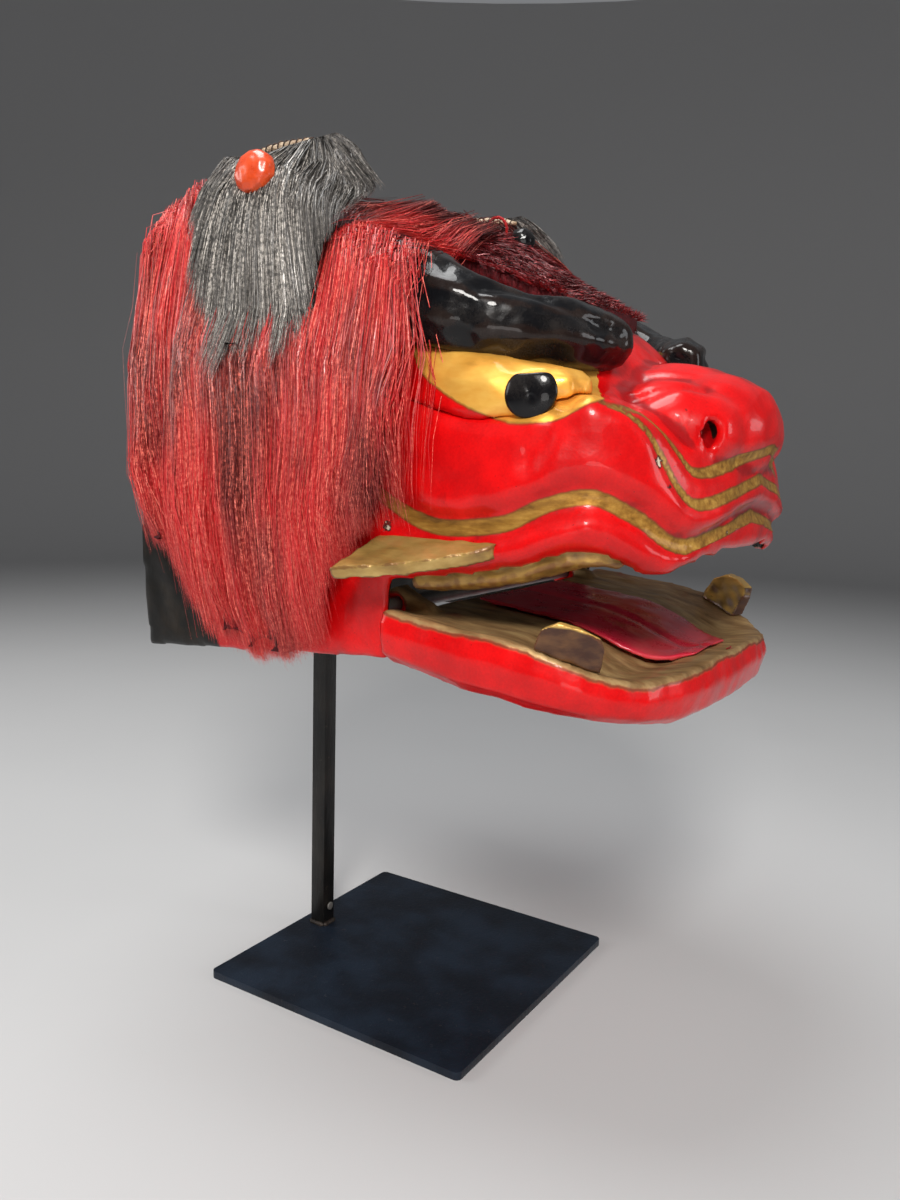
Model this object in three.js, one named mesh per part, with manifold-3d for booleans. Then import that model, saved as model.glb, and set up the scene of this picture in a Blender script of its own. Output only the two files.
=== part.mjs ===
// Lion dance head on its square steel display stand.
// Millimetres, +Z up. The origin is the centre of the underside of the stand's plate.
// The face looks along -Y, and the lion's right side is -X.
import * as THREE from "three";
import * as BufferGeometryUtils from "three/addons/utils/BufferGeometryUtils.js";
import Module from "manifold-3d";

const wasm = await Module();
wasm.setup();

// Driving dimensions: clearances
const seatGap = 0.35; // between pieces that touch
const seamGap = 2; // between the lower jaw and the cheek block behind it
const pinPlay = 0.4; // round the jaw's pin

// Driving dimensions: stand
const plateSide = 200;
const plateThick = 5;
const plateCorner = 4;
const postWidth = 12;
const postY = 85;
const saddleSide = 44;
const saddleThick = 4;
const screwRadius = 3.2;
const screwHeadThick = 1.6;
const screwHeight = 14; // above the plate

// Driving dimensions: head
const rimZ = 242; // mean height of the head's lower edge
const headHeight = 260; // from that edge to the crown
const halfWidth = 134;
const headBack = 125; // rear edge, behind the origin
const turnY = 108; // where the sides start to turn in towards the face
const faceReach = 220; // front of the lips
const wall = 8;
const openReach = 60; // how far the hollow's cutter runs on past the shell's openings
const seamY = 63; // front face of the cheek blocks
const skirtRear = -0.035; // the lower edge at the rear, and at the cheek block, as shares of headHeight
const skirtFront = 0.027;

// Driving dimensions: jaw
const jawHalfWidth = 138;
const jawReach = 216;
const jawSquare = 3.2;
const jawThick = 29;
const jawRimZ = 277; // the rim's height at the jaw's rear end
const jawRimWidth = 12;
const jawRecess = 3;
const jawTuck = 34; // how far the jaw's underside draws in
const pinY = 56;
const pinZ = 276;
const pinRadius = 4;
const lugRadius = 10;
const lugThick = 12;
const lugX = 98; // inner face of each lug
const lugRoot = 14; // how far each lug runs into the jaw's rear end

// Driving dimensions: hair, ears and small parts
const maneThick = 29;
const maneBacking = 12;
const crownHairThick = 9;
const crownHairFront = 0.6; // in faceReach before the origin
const crownHairRear = 0.02; // in faceReach behind it
const crownHairSpread = 0.66; // in halfWidth
const knobSize = 8;
const knobPlace = 0.3; // in faceReach before the origin
const tieRadius = 7;
const tieThread = 1;
const tiePlace = 0.22; // in faceReach before the origin
const tieLift = 2;
const tieLean = 0.25;
const tieTurn = Math.PI / 2.4;
const earThick = 3;
const earTopX = 104; // the ears' top edge
const earRimRadius = 2.6;
const earRimRear = 0.255; // the rim's ends, in faceReach behind the origin
const earRimFront = -0.02;
const earRimDown = 1.5; // folds below the ridge
const tackRadius = 12.5;
const tackHeight = 7;
const tackSunk = 4;
const tackPlace = 0.12; // in faceReach behind the origin
const tackDown = 2.4; // folds below the ridge
const pupilRadius = 15.5;
const pupilHeight = 3;
const pupilPlace = 1.2; // round the head, as in the tables below
const pupilLevel = 0.545; // in headHeight above rimZ
const tuskThick = 7;
const tuskReach = 31; // beyond halfWidth
const tuskLength = 68;
const tuskSunk = 6; // how far its root lies inside the cheek
const tuskSweep = 12; // how far its tip lies behind its root
const tuskWaist = 40; // where its outer edge turns in, from its front end
const tuskWaistIn = 0.26; // how far it turns in, in tuskReach
const tuskNose = 12; // length of its rounded front end
const tuskNoseOut = 8; // how far that end stands out
const tuskRound = 2;
const tuskHeight = 0.268; // in headHeight above rimZ
const tuskTilt = -0.5;
const fangThick = 9;
const fangInset = 4;
const fangFlare = 0.5;
const tongueHalf = 55;
const tongueTip = 62; // length of the rounded tip
const tongueRoot = 12; // how far its root lies before the jaw's rear end
const tongueLap = 0.4; // in jawRimWidth, from the jaw's front edge to its tip
const tongueFull = 0.95; // fullness of the tip, in tongueHalf
const tongueBlunt = 6;
const tongueCutterDown = 60; // the cutter's reach below and above jawRimZ
const tongueCutterUp = 20;
const tongueProud = 3.5; // above the jaw's rim

// The head's folds from the lower edge to the crown. out, reach and turn are shares of halfWidth,
// faceReach and turnY; square is the exponent of the plan curve; lean is the way that the surface
// faces, in degrees above level. The other columns are heights as shares of headHeight above rimZ.
const folds = [
  { name: "edge", out: 0.955, reach: 0.973, turn: 1, square: 3, lean: 0,
    rear: 0.19, flank: 0.19, block: 0.19, cheek: 0.21, eye: 0.235,
    hump: 0.28, corner: 0.235, dip: 0.255, front: 0.28 },
  { name: "lip", out: 0.993, reach: 1, turn: 1, square: 3, lean: 0,
    rear: 0.22, flank: 0.235, block: 0.255, cheek: 0.25, eye: 0.27,
    hump: 0.325, corner: 0.28, dip: 0.27, front: 0.32 },
  { name: "groove", out: 0.975, reach: 0.984, turn: 1, square: 3, lean: 0,
    rear: 0.32, flank: 0.33, block: 0.34, cheek: 0.308, eye: 0.32,
    hump: 0.372, corner: 0.34, dip: 0.288, front: 0.36 },
  { name: "cheek", out: 1, reach: 1, turn: 1, square: 3, lean: 0,
    rear: 0.415, flank: 0.42, block: 0.445, cheek: 0.415, eye: 0.42,
    hump: 0.45, corner: 0.395, dip: 0.328, front: 0.39 },
  { name: "upper cheek", out: 0.985, reach: 0.995, turn: 1, square: 3, lean: 8,
    rear: 0.55, flank: 0.55, block: 0.54, cheek: 0.5, eye: 0.49,
    hump: 0.54, corner: 0.48, dip: 0.39, front: 0.43 },
  { name: "lower lid", out: 0.945, reach: 0.96, turn: 1, square: 2.9, lean: 30,
    rear: 0.6, flank: 0.59, block: 0.57, cheek: 0.53, eye: 0.515,
    hump: 0.565, corner: 0.53, dip: 0.47, front: 0.485 },
  { name: "socket", out: 0.875, reach: 0.87, turn: 0.95, square: 2.5, lean: 10,
    rear: 0.63, flank: 0.62, block: 0.6, cheek: 0.565, eye: 0.545,
    hump: 0.57, corner: 0.555, dip: 0.54, front: 0.53 },
  { name: "under brow", out: 0.85, reach: 0.755, turn: 0.85, square: 2.2, lean: 12,
    rear: 0.74, flank: 0.73, block: 0.69, cheek: 0.65, eye: 0.63,
    hump: 0.61, corner: 0.6, dip: 0.595, front: 0.59 },
  { name: "brow", out: 0.84, reach: 0.7, turn: 0.75, square: 2.05, lean: 20,
    rear: 0.84, flank: 0.86, block: 0.79, cheek: 0.74, eye: 0.71,
    hump: 0.69, corner: 0.675, dip: 0.665, front: 0.66 },
  { name: "forehead", out: 0.77, reach: 0.635, turn: 0.6, square: 2, lean: 45,
    rear: 0.93, flank: 0.99, block: 0.86, cheek: 0.815, eye: 0.785,
    hump: 0.755, corner: 0.735, dip: 0.725, front: 0.715 },
  { name: "crown side", out: 0.46, reach: 0.55, turn: 0.45, square: 2, lean: 70,
    rear: 0.965, flank: 0.985, block: 0.93, cheek: 0.885, eye: 0.865,
    hump: 0.825, corner: 0.79, dip: 0.775, front: 0.765 },
  { name: "ridge", out: 0, reach: 0.45, turn: 0.35, square: 2, lean: 90,
    rear: 0.975, flank: 0.995, block: 0.985, cheek: 0.95, eye: 0.94,
    hump: 0.905, corner: 0.86, dip: 0.83, front: 0.81 },
];

// Where the height columns lie round the head: 0 at the rear, 1 at the turn, 2 at the middle of the face.
const places = {
  rear: 0, flank: 0.47, block: 0.81, cheek: 0.97, eye: 1.07, hump: 1.33, corner: 1.52, dip: 1.7, front: 2,
};

// Rolls that lie on the head. place is the place round the head, height is in headHeight above rimZ,
// and proud, wide and deep are shares of the roll's size.
const browSize = 23;
const browRows = [
  { place: 0.68, height: 0.82, proud: 0.1, wide: 0.6, deep: 0.4 },
  { place: 0.8, height: 0.805, proud: 0.22, wide: 0.95, deep: 0.7 },
  { place: 0.92, height: 0.765, proud: 0.28, wide: 0.97, deep: 0.8 },
  { place: 1.05, height: 0.722, proud: 0.3, wide: 0.9, deep: 0.8 },
  { place: 1.22, height: 0.688, proud: 0.3, wide: 0.74, deep: 0.75 },
  { place: 1.42, height: 0.672, proud: 0.3, wide: 0.66, deep: 0.72 },
  { place: 1.6, height: 0.664, proud: 0.28, wide: 0.62, deep: 0.68 },
  { place: 1.72, height: 0.662, proud: 0.2, wide: 0.45, deep: 0.5 },
];
const eyeSize = 17;
const eyeRows = [
  { place: 0.7, height: 0.62, proud: 0, wide: 0.7, deep: 0.5 },
  { place: 0.84, height: 0.605, proud: 0.1, wide: 1.1, deep: 0.65 },
  { place: 0.97, height: 0.582, proud: 0.2, wide: 1.2, deep: 0.75 },
  { place: 1.1, height: 0.564, proud: 0.25, wide: 1.15, deep: 0.8 },
  { place: 1.24, height: 0.565, proud: 0.2, wide: 0.85, deep: 0.7 },
  { place: 1.38, height: 0.573, proud: 0.1, wide: 0.5, deep: 0.5 },
  { place: 1.5, height: 0.585, proud: 0, wide: 0.2, deep: 0.25 },
];
const gumSize = 14;
const gumRows = [
  { place: 0.86, height: 0.18, proud: -0.6, wide: 0.6, deep: 0.5 },
  { place: 0.97, height: 0.197, proud: -0.6, wide: 0.95, deep: 0.6 },
  { place: 1.1, height: 0.222, proud: -0.6, wide: 1.1, deep: 0.6 },
  { place: 1.25, height: 0.247, proud: -0.6, wide: 1.15, deep: 0.6 },
  { place: 1.38, height: 0.25, proud: -0.6, wide: 0.9, deep: 0.6 },
  { place: 1.46, height: 0.24, proud: -0.6, wide: 0.4, deep: 0.4 },
];

// The locks of one side of the mane. Each falls from the crown: top, middle and tip give how far it
// lies behind the origin as shares of headBack, low is the tip's height in headHeight above rimZ,
// and wide is a share of lockWidth.
const lockWidth = 15;
const lockTopDown = 0.25; // folds below the ridge
const locks = [
  { top: -0.1, middle: -0.6, tip: -0.52, low: 0.34, wide: 0.8 },
  { top: -0.04, middle: -0.47, tip: -0.4, low: 0.2, wide: 0.9 },
  { top: 0.03, middle: -0.32, tip: -0.27, low: 0.09, wide: 1 },
  { top: 0.1, middle: -0.16, tip: -0.12, low: 0.03, wide: 1 },
  { top: 0.18, middle: 0.02, tip: 0.04, low: -0.005, wide: 1 },
  { top: 0.26, middle: 0.2, tip: 0.2, low: -0.015, wide: 1 },
  { top: 0.36, middle: 0.37, tip: 0.36, low: 0.02, wide: 1 },
  { top: 0.49, middle: 0.55, tip: 0.54, low: 0.12, wide: 1 },
  { top: 0.62, middle: 0.76, tip: 0.76, low: 0.22, wide: 1 },
  { top: 0.8, middle: 0.86, tip: 0.84, low: 0.45, wide: 0.9 },
];

// The jaw's rim and belly as shares of jawThick above jawRimZ
const jawRows = [
  { place: 0, rim: 0, belly: -1 },
  { place: 1, rim: -0.155, belly: -1.3 },
  { place: 1.15, rim: -0.34, belly: -1.46 },
  { place: 1.35, rim: -0.66, belly: -1.58 },
  { place: 1.55, rim: -0.88, belly: -1.7 },
  { place: 1.75, rim: -0.86, belly: -1.82 },
  { place: 2, rim: -0.76, belly: -1.87 },
];

// The lower fang: low and high are heights above the jaw's rim in mm
const fangRows = [
  { place: 1.17, low: -3, high: 2 },
  { place: 1.2, low: -3, high: 13 },
  { place: 1.25, low: -3, high: 19 },
  { place: 1.31, low: -3, high: 20 },
  { place: 1.38, low: -3, high: 18 },
  { place: 1.4, low: -3, high: 13 },
];

// The nose: lobes in shares of noseWidth across, noseLength along and noseHeight up, from the nose's
// own centre, which lies noseBack behind the lips and noseZ above rimZ.
const noseWidth = 70;
const noseLength = 52;
const noseHeight = 36;
const noseBack = 42;
const noseZ = 134;
const noseLobes = [
  { name: "bridge", across: 0, along: 0.2, up: 0.05, wide: 0.66, long: 1, high: 1 },
  { name: "tip", across: 0, along: -0.3, up: -0.02, wide: 0.76, long: 0.66, high: 0.9 },
  { name: "wing", across: 0.56, along: 0, up: -0.1, wide: 0.5, long: 0.82, high: 0.8 },
];
const nostrilWidth = 11;
const nostrilHeight = 16;
const nostrilDepth = 16;
const nostrilAcross = 0.84; // in noseWidth, noseLength and noseHeight from the nose's centre
const nostrilAlong = 0.62;
const nostrilDown = 0.1;
const nostrilTurn = 0.75;

// Outlines seen from the lion's right side, as [y, z] shares of faceReach and headHeight.
const earOutline = [[-0.02, 1.18], [0.25, 1.18], [0.3, 1.02], [0.3, 0.9], [0.24, 0.8], [0.21, 0.74],
  [0.16, 0.66], [0.12, 0.585], [0.06, 0.66], [0, 0.7], [-0.05, 0.69], [-0.095, 0.615], [-0.12, 0.75],
  [-0.13, 0.88], [-0.15, 0.98], [-0.08, 1.1]];
const maneOutline = [[0, 1.4], [-0.03, 0.99], [-0.2, 0.9], [-0.28, 0.84], [-0.36, 0.76], [-0.37, 0.56],
  [-0.31, 0.36], [-0.2, 0.12], [-0.04, 0.03], [0.12, 0.01], [0.24, 0.05], [0.36, 0.18], [0.45, 0.26],
  [0.49, 0.6], [0.54, 0.8], [0.54, 1.4]];

const colours = {
  redLacquer: 0xb80d0a,
  blackLacquer: 0x0d0c0c,
  gold: 0x8a6326,
  oldGold: 0x6f5631,
  redHair: 0x7c1a25,
  darkHair: 0x2c2a2a,
  tongue: 0xc02436,
  rawhide: 0xb09a6a,
  tack: 0xc03a1c,
  thread: 0xc4201c,
  steel: 0x101318,
};

// Curve helpers
function throughKeys(keys, values, at) {
  const last = keys.length - 1;
  let i = 0;
  while (i < last - 1 && at > keys[i + 1]) i += 1;
  const slope = (k) => {
    if (k === last) return 0;
    const a = Math.max(k - 1, 0);
    const b = k + 1;
    return (values[b] - values[a]) / (keys[b] - keys[a]);
  };
  const span = keys[i + 1] - keys[i];
  const t = THREE.MathUtils.clamp((at - keys[i]) / span, 0, 1);
  const t2 = t * t;
  const t3 = t2 * t;
  return (2 * t3 - 3 * t2 + 1) * values[i] + (t3 - 2 * t2 + t) * span * slope(i)
    + (-2 * t3 + 3 * t2) * values[i + 1] + (t3 - t2) * span * slope(i + 1);
}

function blend4(a, b, c, d, t) {
  return b + 0.5 * t * (c - a + t * (2 * a - 5 * b + 4 * c - d + t * (3 * (b - c) + d - a)));
}

// One point of a plan curve on the lion's right side: straight from the rear, then a squared arc.
function planPoint(place, back, side, turn, reach, square) {
  if (place <= 1) return [-side, back - place * (back + turn)];
  const angle = (place - 1) * Math.PI / 2;
  const x = -side * Math.max(Math.cos(angle), 0) ** (2 / square);
  return [x, -turn - (reach - turn) * Math.sin(angle) ** (2 / square)];
}

// The head's outer form
const placeKeys = Object.values(places);
const foldHeights = folds.map((fold) => Object.keys(places).map((key) => fold[key]));
const seamPlace = (headBack + seamY) / (headBack + turnY);

function foldPoint(index, place, proud) {
  const fold = folds[index];
  const lean = THREE.MathUtils.degToRad(fold.lean);
  const outward = proud * Math.cos(lean);
  const side = index === folds.length - 1 ? 0 : halfWidth * fold.out + outward;
  const front = faceReach * fold.reach + outward;
  const [x, y] = planPoint(place, headBack, side, turnY * fold.turn, front, fold.square);
  const share = throughKeys(placeKeys, foldHeights[index], place);
  return new THREE.Vector3(x, y, rimZ + headHeight * share + proud * Math.sin(lean));
}

function formPoint(place, level, proud) {
  const last = folds.length - 1;
  const i = Math.min(Math.floor(level), last - 1);
  const around = [i - 1, i, i + 1, i + 2].map((k) => THREE.MathUtils.clamp(k, 0, last));
  const [a, b, c, d] = around.map((k) => foldPoint(k, place, proud));
  const t = level - i;
  const x = Math.min(blend4(a.x, b.x, c.x, d.x, t), 0);
  return new THREE.Vector3(x, blend4(a.y, b.y, c.y, d.y, t), blend4(a.z, b.z, c.z, d.z, t));
}

function levelAt(place, height) {
  let low = 0;
  let high = folds.length - 1;
  for (let step = 0; step < 30; step += 1) {
    const middle = (low + high) / 2;
    if (formPoint(place, middle, 0).z < rimZ + headHeight * height) low = middle;
    else high = middle;
  }
  return (low + high) / 2;
}

function formNormal(place, level) {
  const step = 0.02;
  const along = formPoint(Math.min(place + step, 2), level, 0).sub(formPoint(place - step, level, 0));
  const higher = formPoint(place, Math.min(level + step, folds.length - 1), 0);
  const up = higher.sub(formPoint(place, Math.max(level - step, 0), 0));
  return new THREE.Vector3().crossVectors(along, up).normalize();
}

// Solids from points and triangles
function weld(points, triangles) {
  const geometry = new THREE.BufferGeometry();
  const numbers = points.flatMap((p) => [p.x, p.y, p.z]);
  geometry.setAttribute("position", new THREE.Float32BufferAttribute(numbers, 3));
  geometry.setIndex(triangles.flat());
  return solidOf(geometry);
}

function solidOf(source) {
  const bare = source.clone();
  bare.deleteAttribute("normal");
  bare.deleteAttribute("uv");
  const merged = BufferGeometryUtils.mergeVertices(bare, 1e-3);
  const position = merged.attributes.position;
  let corners = [];
  for (let i = 0; i < merged.index.count; i += 3) {
    const [a, b, c] = [0, 1, 2].map((k) => merged.index.getX(i + k));
    if (a !== b && b !== c && c !== a) corners.push(a, b, c);
  }
  const p = [0, 1, 2].map(() => new THREE.Vector3());
  let volume = 0;
  for (let i = 0; i < corners.length; i += 3) {
    p.forEach((v, k) => v.fromBufferAttribute(position, corners[i + k]));
    volume += p[0].dot(p[1].cross(p[2]));
  }
  if (volume < 0) corners = corners.reverse();
  const vertProperties = new Float32Array(position.array);
  const mesh = new wasm.Mesh({ numProp: 3, vertProperties, triVerts: new Uint32Array(corners) });
  return new wasm.Manifold(mesh);
}

function geometryOf(solid) {
  const mesh = solid.getMesh();
  const geometry = new THREE.BufferGeometry();
  geometry.setAttribute("position", new THREE.BufferAttribute(new Float32Array(mesh.vertProperties), 3));
  geometry.setIndex(new THREE.BufferAttribute(new Uint32Array(mesh.triVerts), 1));
  return geometry;
}

function cutAll(solid, cutters) {
  return cutters.reduce((body, cutter) => body.subtract(cutter), solid);
}

function joinAll(solids) {
  return solids.reduce((body, other) => body.add(other));
}

// A closed form from columns of points that run from the right rear end round the front to the left
// one. Each column goes from bottom to top. Ladders of faces close the bottom and top, and a flat face
// closes the rear.
function closedForm(rightColumns) {
  const left = rightColumns.map((column) => column.map((p) => new THREE.Vector3(-p.x, p.y, p.z))).reverse();
  const columns = [...rightColumns, ...left];
  const rows = columns[0].length;
  const last = columns.length - 1;
  const id = (column, row) => column * rows + row;
  const triangles = [];
  const quad = (a, b, c, d) => triangles.push([a, b, c], [a, c, d]);
  for (let j = 0; j < last; j += 1) {
    for (let r = 0; r < rows - 1; r += 1) {
      if (j < rightColumns.length) quad(id(j, r), id(j + 1, r), id(j + 1, r + 1), id(j, r + 1));
      else quad(id(j + 1, r), id(j + 1, r + 1), id(j, r + 1), id(j, r));
    }
  }
  for (let j = 0; j < rightColumns.length - 1; j += 1) {
    quad(id(j, 0), id(last - j, 0), id(last - j - 1, 0), id(j + 1, 0));
    quad(id(j, rows - 1), id(j + 1, rows - 1), id(last - j - 1, rows - 1), id(last - j, rows - 1));
  }
  const points = columns.flat();
  const rim = [];
  for (let r = 0; r < rows; r += 1) rim.push(id(0, r));
  for (let r = rows - 1; r >= 0; r -= 1) rim.push(id(last, r));
  const contour = rim.map((i) => new THREE.Vector2(points[i].x, points[i].z));
  for (const face of THREE.ShapeUtils.triangulateShape(contour, [])) {
    const turned = THREE.ShapeUtils.area(face.map((k) => contour[k])) > 0 ? face.reverse() : face;
    triangles.push(turned.map((k) => rim[k]));
  }
  return weld(points, triangles);
}

// A closed solid through rings of points that all have the same number of points
function tube(rings) {
  const sides = rings[0].length;
  const triangles = [];
  for (let i = 0; i < rings.length - 1; i += 1) {
    for (let k = 0; k < sides; k += 1) {
      const a = i * sides + k;
      const b = i * sides + (k + 1) % sides;
      triangles.push([a, b, b + sides], [a, b + sides, a + sides]);
    }
  }
  const end = (rings.length - 1) * sides;
  for (let k = 1; k < sides - 1; k += 1) triangles.push([0, k + 1, k], [end, end + k, end + k + 1]);
  return weld(rings.flat(), triangles);
}

// A roll of oval section along a path of { centre, out, wide, deep }
function roll(path, sides = 8) {
  const last = path.length - 1;
  return tube(path.map((row, i) => {
    const along = path[Math.min(i + 1, last)].centre.clone().sub(path[Math.max(i - 1, 0)].centre);
    const across = new THREE.Vector3().crossVectors(row.out, along).normalize();
    const ring = [];
    for (let k = 0; k < sides; k += 1) {
      const angle = k / sides * 2 * Math.PI;
      const point = row.centre.clone().addScaledVector(across, row.wide * Math.cos(angle));
      ring.push(point.addScaledVector(row.out, row.deep * Math.sin(angle)));
    }
    return ring;
  }));
}

function smoothRows(rows, steps) {
  const result = [];
  for (let i = 0; i < rows.length - 1; i += 1) {
    const around = [i - 1, i, i + 1, i + 2].map((k) => rows[THREE.MathUtils.clamp(k, 0, rows.length - 1)]);
    for (let s = 0; s < steps; s += 1) {
      const row = {};
      for (const key of Object.keys(rows[0])) row[key] = blend4(...around.map((r) => r[key]), s / steps);
      result.push(row);
    }
  }
  result.push(rows[rows.length - 1]);
  return result;
}

function rollOnHead(rows, size, extra = 0) {
  const path = smoothRows(rows, 2).map((row) => {
    const level = levelAt(row.place, row.height);
    const out = formNormal(row.place, level);
    const centre = formPoint(row.place, level, 0).addScaledVector(out, row.proud * size);
    return { centre, out, wide: row.wide * size + extra, deep: row.deep * size + extra };
  });
  return roll(path);
}

// Folds below this one get a row of points between them and the next
const splitFolds = 10;
const ridgeLevel = folds.length - 1;

// The head's outer form as a closed solid that stands proud of the real surface by a distance
function headForm(proud, { fine = true, drop = 0, rearward = 0 } = {}) {
  const straight = fine ? [0, 0.34, 0.62] : [0, 0.34];
  const bend = fine ? 10 : 8;
  const step = 0.001;
  const stations = [...straight, seamPlace - step, seamPlace + step, 1];
  for (let k = 1; k <= bend; k += 1) stations.push(1 + k / bend);
  const levels = [];
  folds.forEach((fold, index) => {
    levels.push(index);
    if (fine && index < splitFolds) levels.push(index + 0.5);
  });
  const columns = stations.map((place) => {
    const column = levels.map((level) => formPoint(place, level, proud));
    const skirt = THREE.MathUtils.lerp(skirtRear, skirtFront, place / seamPlace);
    if (place < seamPlace) column[0].z = rimZ + headHeight * skirt;
    column[0].z -= drop;
    if (fine) column[1].z = (column[0].z + column[2].z) / 2;
    if (place === 0) column.forEach((point) => { point.y += rearward; });
    return column;
  });
  return closedForm(columns);
}

// The space inside the shell, open below and at the rear
function hollow(inset, drop = openReach) {
  return headForm(-inset, { fine: false, drop, rearward: openReach });
}

function moved(geometry, x, y, z, rotation = [0, 0, 0]) {
  const turned = geometry.clone();
  turned.applyMatrix4(new THREE.Matrix4().makeRotationFromEuler(new THREE.Euler(...rotation)));
  turned.translate(x, y, z);
  return turned;
}

// Turns a shape drawn in X and Y and extruded along Z into one drawn in Y and Z that runs along X
const sidewaysFrame = new THREE.Matrix4().set(0, 0, 1, 0, 1, 0, 0, 0, 0, 1, 0, 0, 0, 0, 0, 1);

// A slab with an outline of [y, z] points that spans from x = from to x = to
function sideSlab(outline, from, to) {
  const shape = new THREE.Shape(outline.map(([y, z]) => new THREE.Vector2(y, z)));
  const slab = new THREE.ExtrudeGeometry(shape, { depth: to - from, bevelEnabled: false });
  slab.applyMatrix4(sidewaysFrame);
  slab.translate(from, 0, 0);
  return solidOf(slab);
}

const sideOutline = (shares) => shares.map(([y, z]) => [y * faceReach, rimZ + z * headHeight]);

// Head pieces
function noseSolids(grow = 0) {
  const centreY = -faceReach + noseBack;
  const solids = [];
  for (const lobe of noseLobes) {
    for (const side of lobe.across === 0 ? [1] : [-1, 1]) {
      const ball = new THREE.SphereGeometry(1, 14, 8);
      ball.scale(lobe.wide * noseWidth + grow, lobe.long * noseLength + grow, lobe.high * noseHeight + grow);
      const y = centreY + lobe.along * noseLength;
      const z = rimZ + noseZ + lobe.up * noseHeight;
      solids.push(solidOf(moved(ball, side * lobe.across * noseWidth, y, z)));
    }
  }
  return joinAll(solids);
}

function nostrilCutter(side) {
  const hole = new THREE.SphereGeometry(1, 12, 8);
  hole.scale(nostrilWidth / 2, nostrilDepth, nostrilHeight / 2);
  const y = -faceReach + noseBack - nostrilAlong * noseLength;
  const z = rimZ + noseZ - nostrilDown * noseHeight;
  return solidOf(moved(hole, side * nostrilAcross * noseWidth, y, z, [0, 0, side * nostrilTurn]));
}

function buildHeadShell() {
  const cavity = hollow(wall);
  const outer = headForm(0).add(noseSolids());
  return cutAll(outer, [cavity, nostrilCutter(-1), nostrilCutter(1)]);
}

const seatForm = headForm(seatGap).add(noseSolids(seatGap));
const farOut = 400; // beyond every piece
const squareOutline = [[-farOut, 0], [farOut, 0], [farOut, 2 * farOut], [-farOut, 2 * farOut]];
const rightHalf = sideSlab(squareOutline, -farOut, -seatGap);

function buildBrow() {
  return rollOnHead(browRows, browSize).subtract(seatForm);
}

function buildEye() {
  return cutAll(rollOnHead(eyeRows, eyeSize), [seatForm, rollOnHead(browRows, browSize, seatGap)]);
}

// The pupil is a disc that follows the eye's curve
function buildPupil() {
  const level = levelAt(pupilPlace, pupilLevel);
  const out = formNormal(pupilPlace, level);
  const centre = formPoint(pupilPlace, level, 0).addScaledVector(out, eyeSize);
  const disc = new THREE.CylinderGeometry(pupilRadius, pupilRadius, 3 * eyeSize, 18);
  disc.applyQuaternion(new THREE.Quaternion().setFromUnitVectors(new THREE.Vector3(0, 1, 0), out));
  disc.translate(centre.x, centre.y, centre.z);
  const skin = rollOnHead(eyeRows, eyeSize, seatGap + pupilHeight);
  const clear = [seatForm, rollOnHead(browRows, browSize, seatGap), rollOnHead(eyeRows, eyeSize, seatGap)];
  return largest(cutAll(solidOf(disc).intersect(skin), clear));
}

function largest(solid) {
  return solid.decompose().sort((a, b) => b.volume() - a.volume())[0];
}

function buildGum() {
  const shellBack = hollow(wall + seatGap);
  return rollOnHead(gumRows, gumSize).intersect(shellBack);
}

// The side tusk is a flat leaf that sticks out of the cheek and sweeps back to a point
function tuskLeaf(grow) {
  const root = halfWidth - tuskSunk;
  const tip = halfWidth + tuskReach;
  const rear = -seamY + grow;
  const front = -seamY - tuskLength - grow;
  const shape = new THREE.Shape();
  shape.moveTo(-root, rear + tuskRound);
  shape.quadraticCurveTo(-(root + tip) / 2, rear + tuskSweep / 2, -tip - grow, rear + tuskSweep);
  const waist = -tip + tuskReach * tuskWaistIn - grow;
  shape.quadraticCurveTo(waist, front + tuskWaist, -halfWidth - tuskNoseOut - grow, front + tuskNose);
  shape.quadraticCurveTo(-halfWidth - tuskRound, front - tuskRound, -root, front);
  const depth = tuskThick + 2 * grow;
  const leaf = new THREE.ExtrudeGeometry(shape, { depth, bevelEnabled: false, curveSegments: 6 });
  leaf.translate(halfWidth, 0, -depth / 2);
  leaf.applyMatrix4(new THREE.Matrix4().makeRotationY(tuskTilt));
  leaf.translate(-halfWidth, 0, rimZ + headHeight * tuskHeight);
  return solidOf(leaf);
}

function buildTusk() {
  return largest(tuskLeaf(0).subtract(seatForm));
}

// Hair
function lockSolid(lock) {
  const steps = 4;
  const rearPlace = (y) => (headBack - y) / (headBack + turnY);
  const path = [];
  for (let s = 0; s <= steps; s += 1) {
    const t = s / steps;
    const knee = 2 * lock.middle - (lock.top + lock.tip) / 2;
    const y = headBack * ((1 - t) ** 2 * lock.top + 2 * t * (1 - t) * knee + t * t * lock.tip);
    const at = THREE.MathUtils.clamp(rearPlace(y), 0.02, 0.999);
    const lowest = levelAt(at, lock.low);
    const level = THREE.MathUtils.lerp(ridgeLevel - lockTopDown, lowest, t ** 0.8);
    const point = formPoint(at, level, maneBacking);
    point.y = y;
    if (lock.low < 0.2 && s === steps) point.z = rimZ + headHeight * lock.low;
    const wide = lock.wide * lockWidth * Math.min(1, 0.45 + 2.2 * t, 0.25 + 4 * (1 - t));
    const deep = (maneThick - maneBacking) * Math.min(1, 0.3 + 2 * t, 0.35 + 3 * (1 - t));
    path.push({ centre: point, out: formNormal(at, level), wide, deep });
  }
  return roll(path, 5);
}

function buildMane() {
  const side = sideSlab(sideOutline(maneOutline), -farOut, -seatGap);
  const backing = headForm(maneBacking, { fine: false, drop: 10 }).intersect(side);
  const hair = joinAll([backing, ...locks.map(lockSolid)]).intersect(rightHalf);
  const rolls = [rollOnHead(browRows, browSize, seatGap), rollOnHead(eyeRows, eyeSize, seatGap)];
  return largest(cutAll(hair, [seatForm, tuskLeaf(seatGap), ...rolls]));
}

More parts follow.
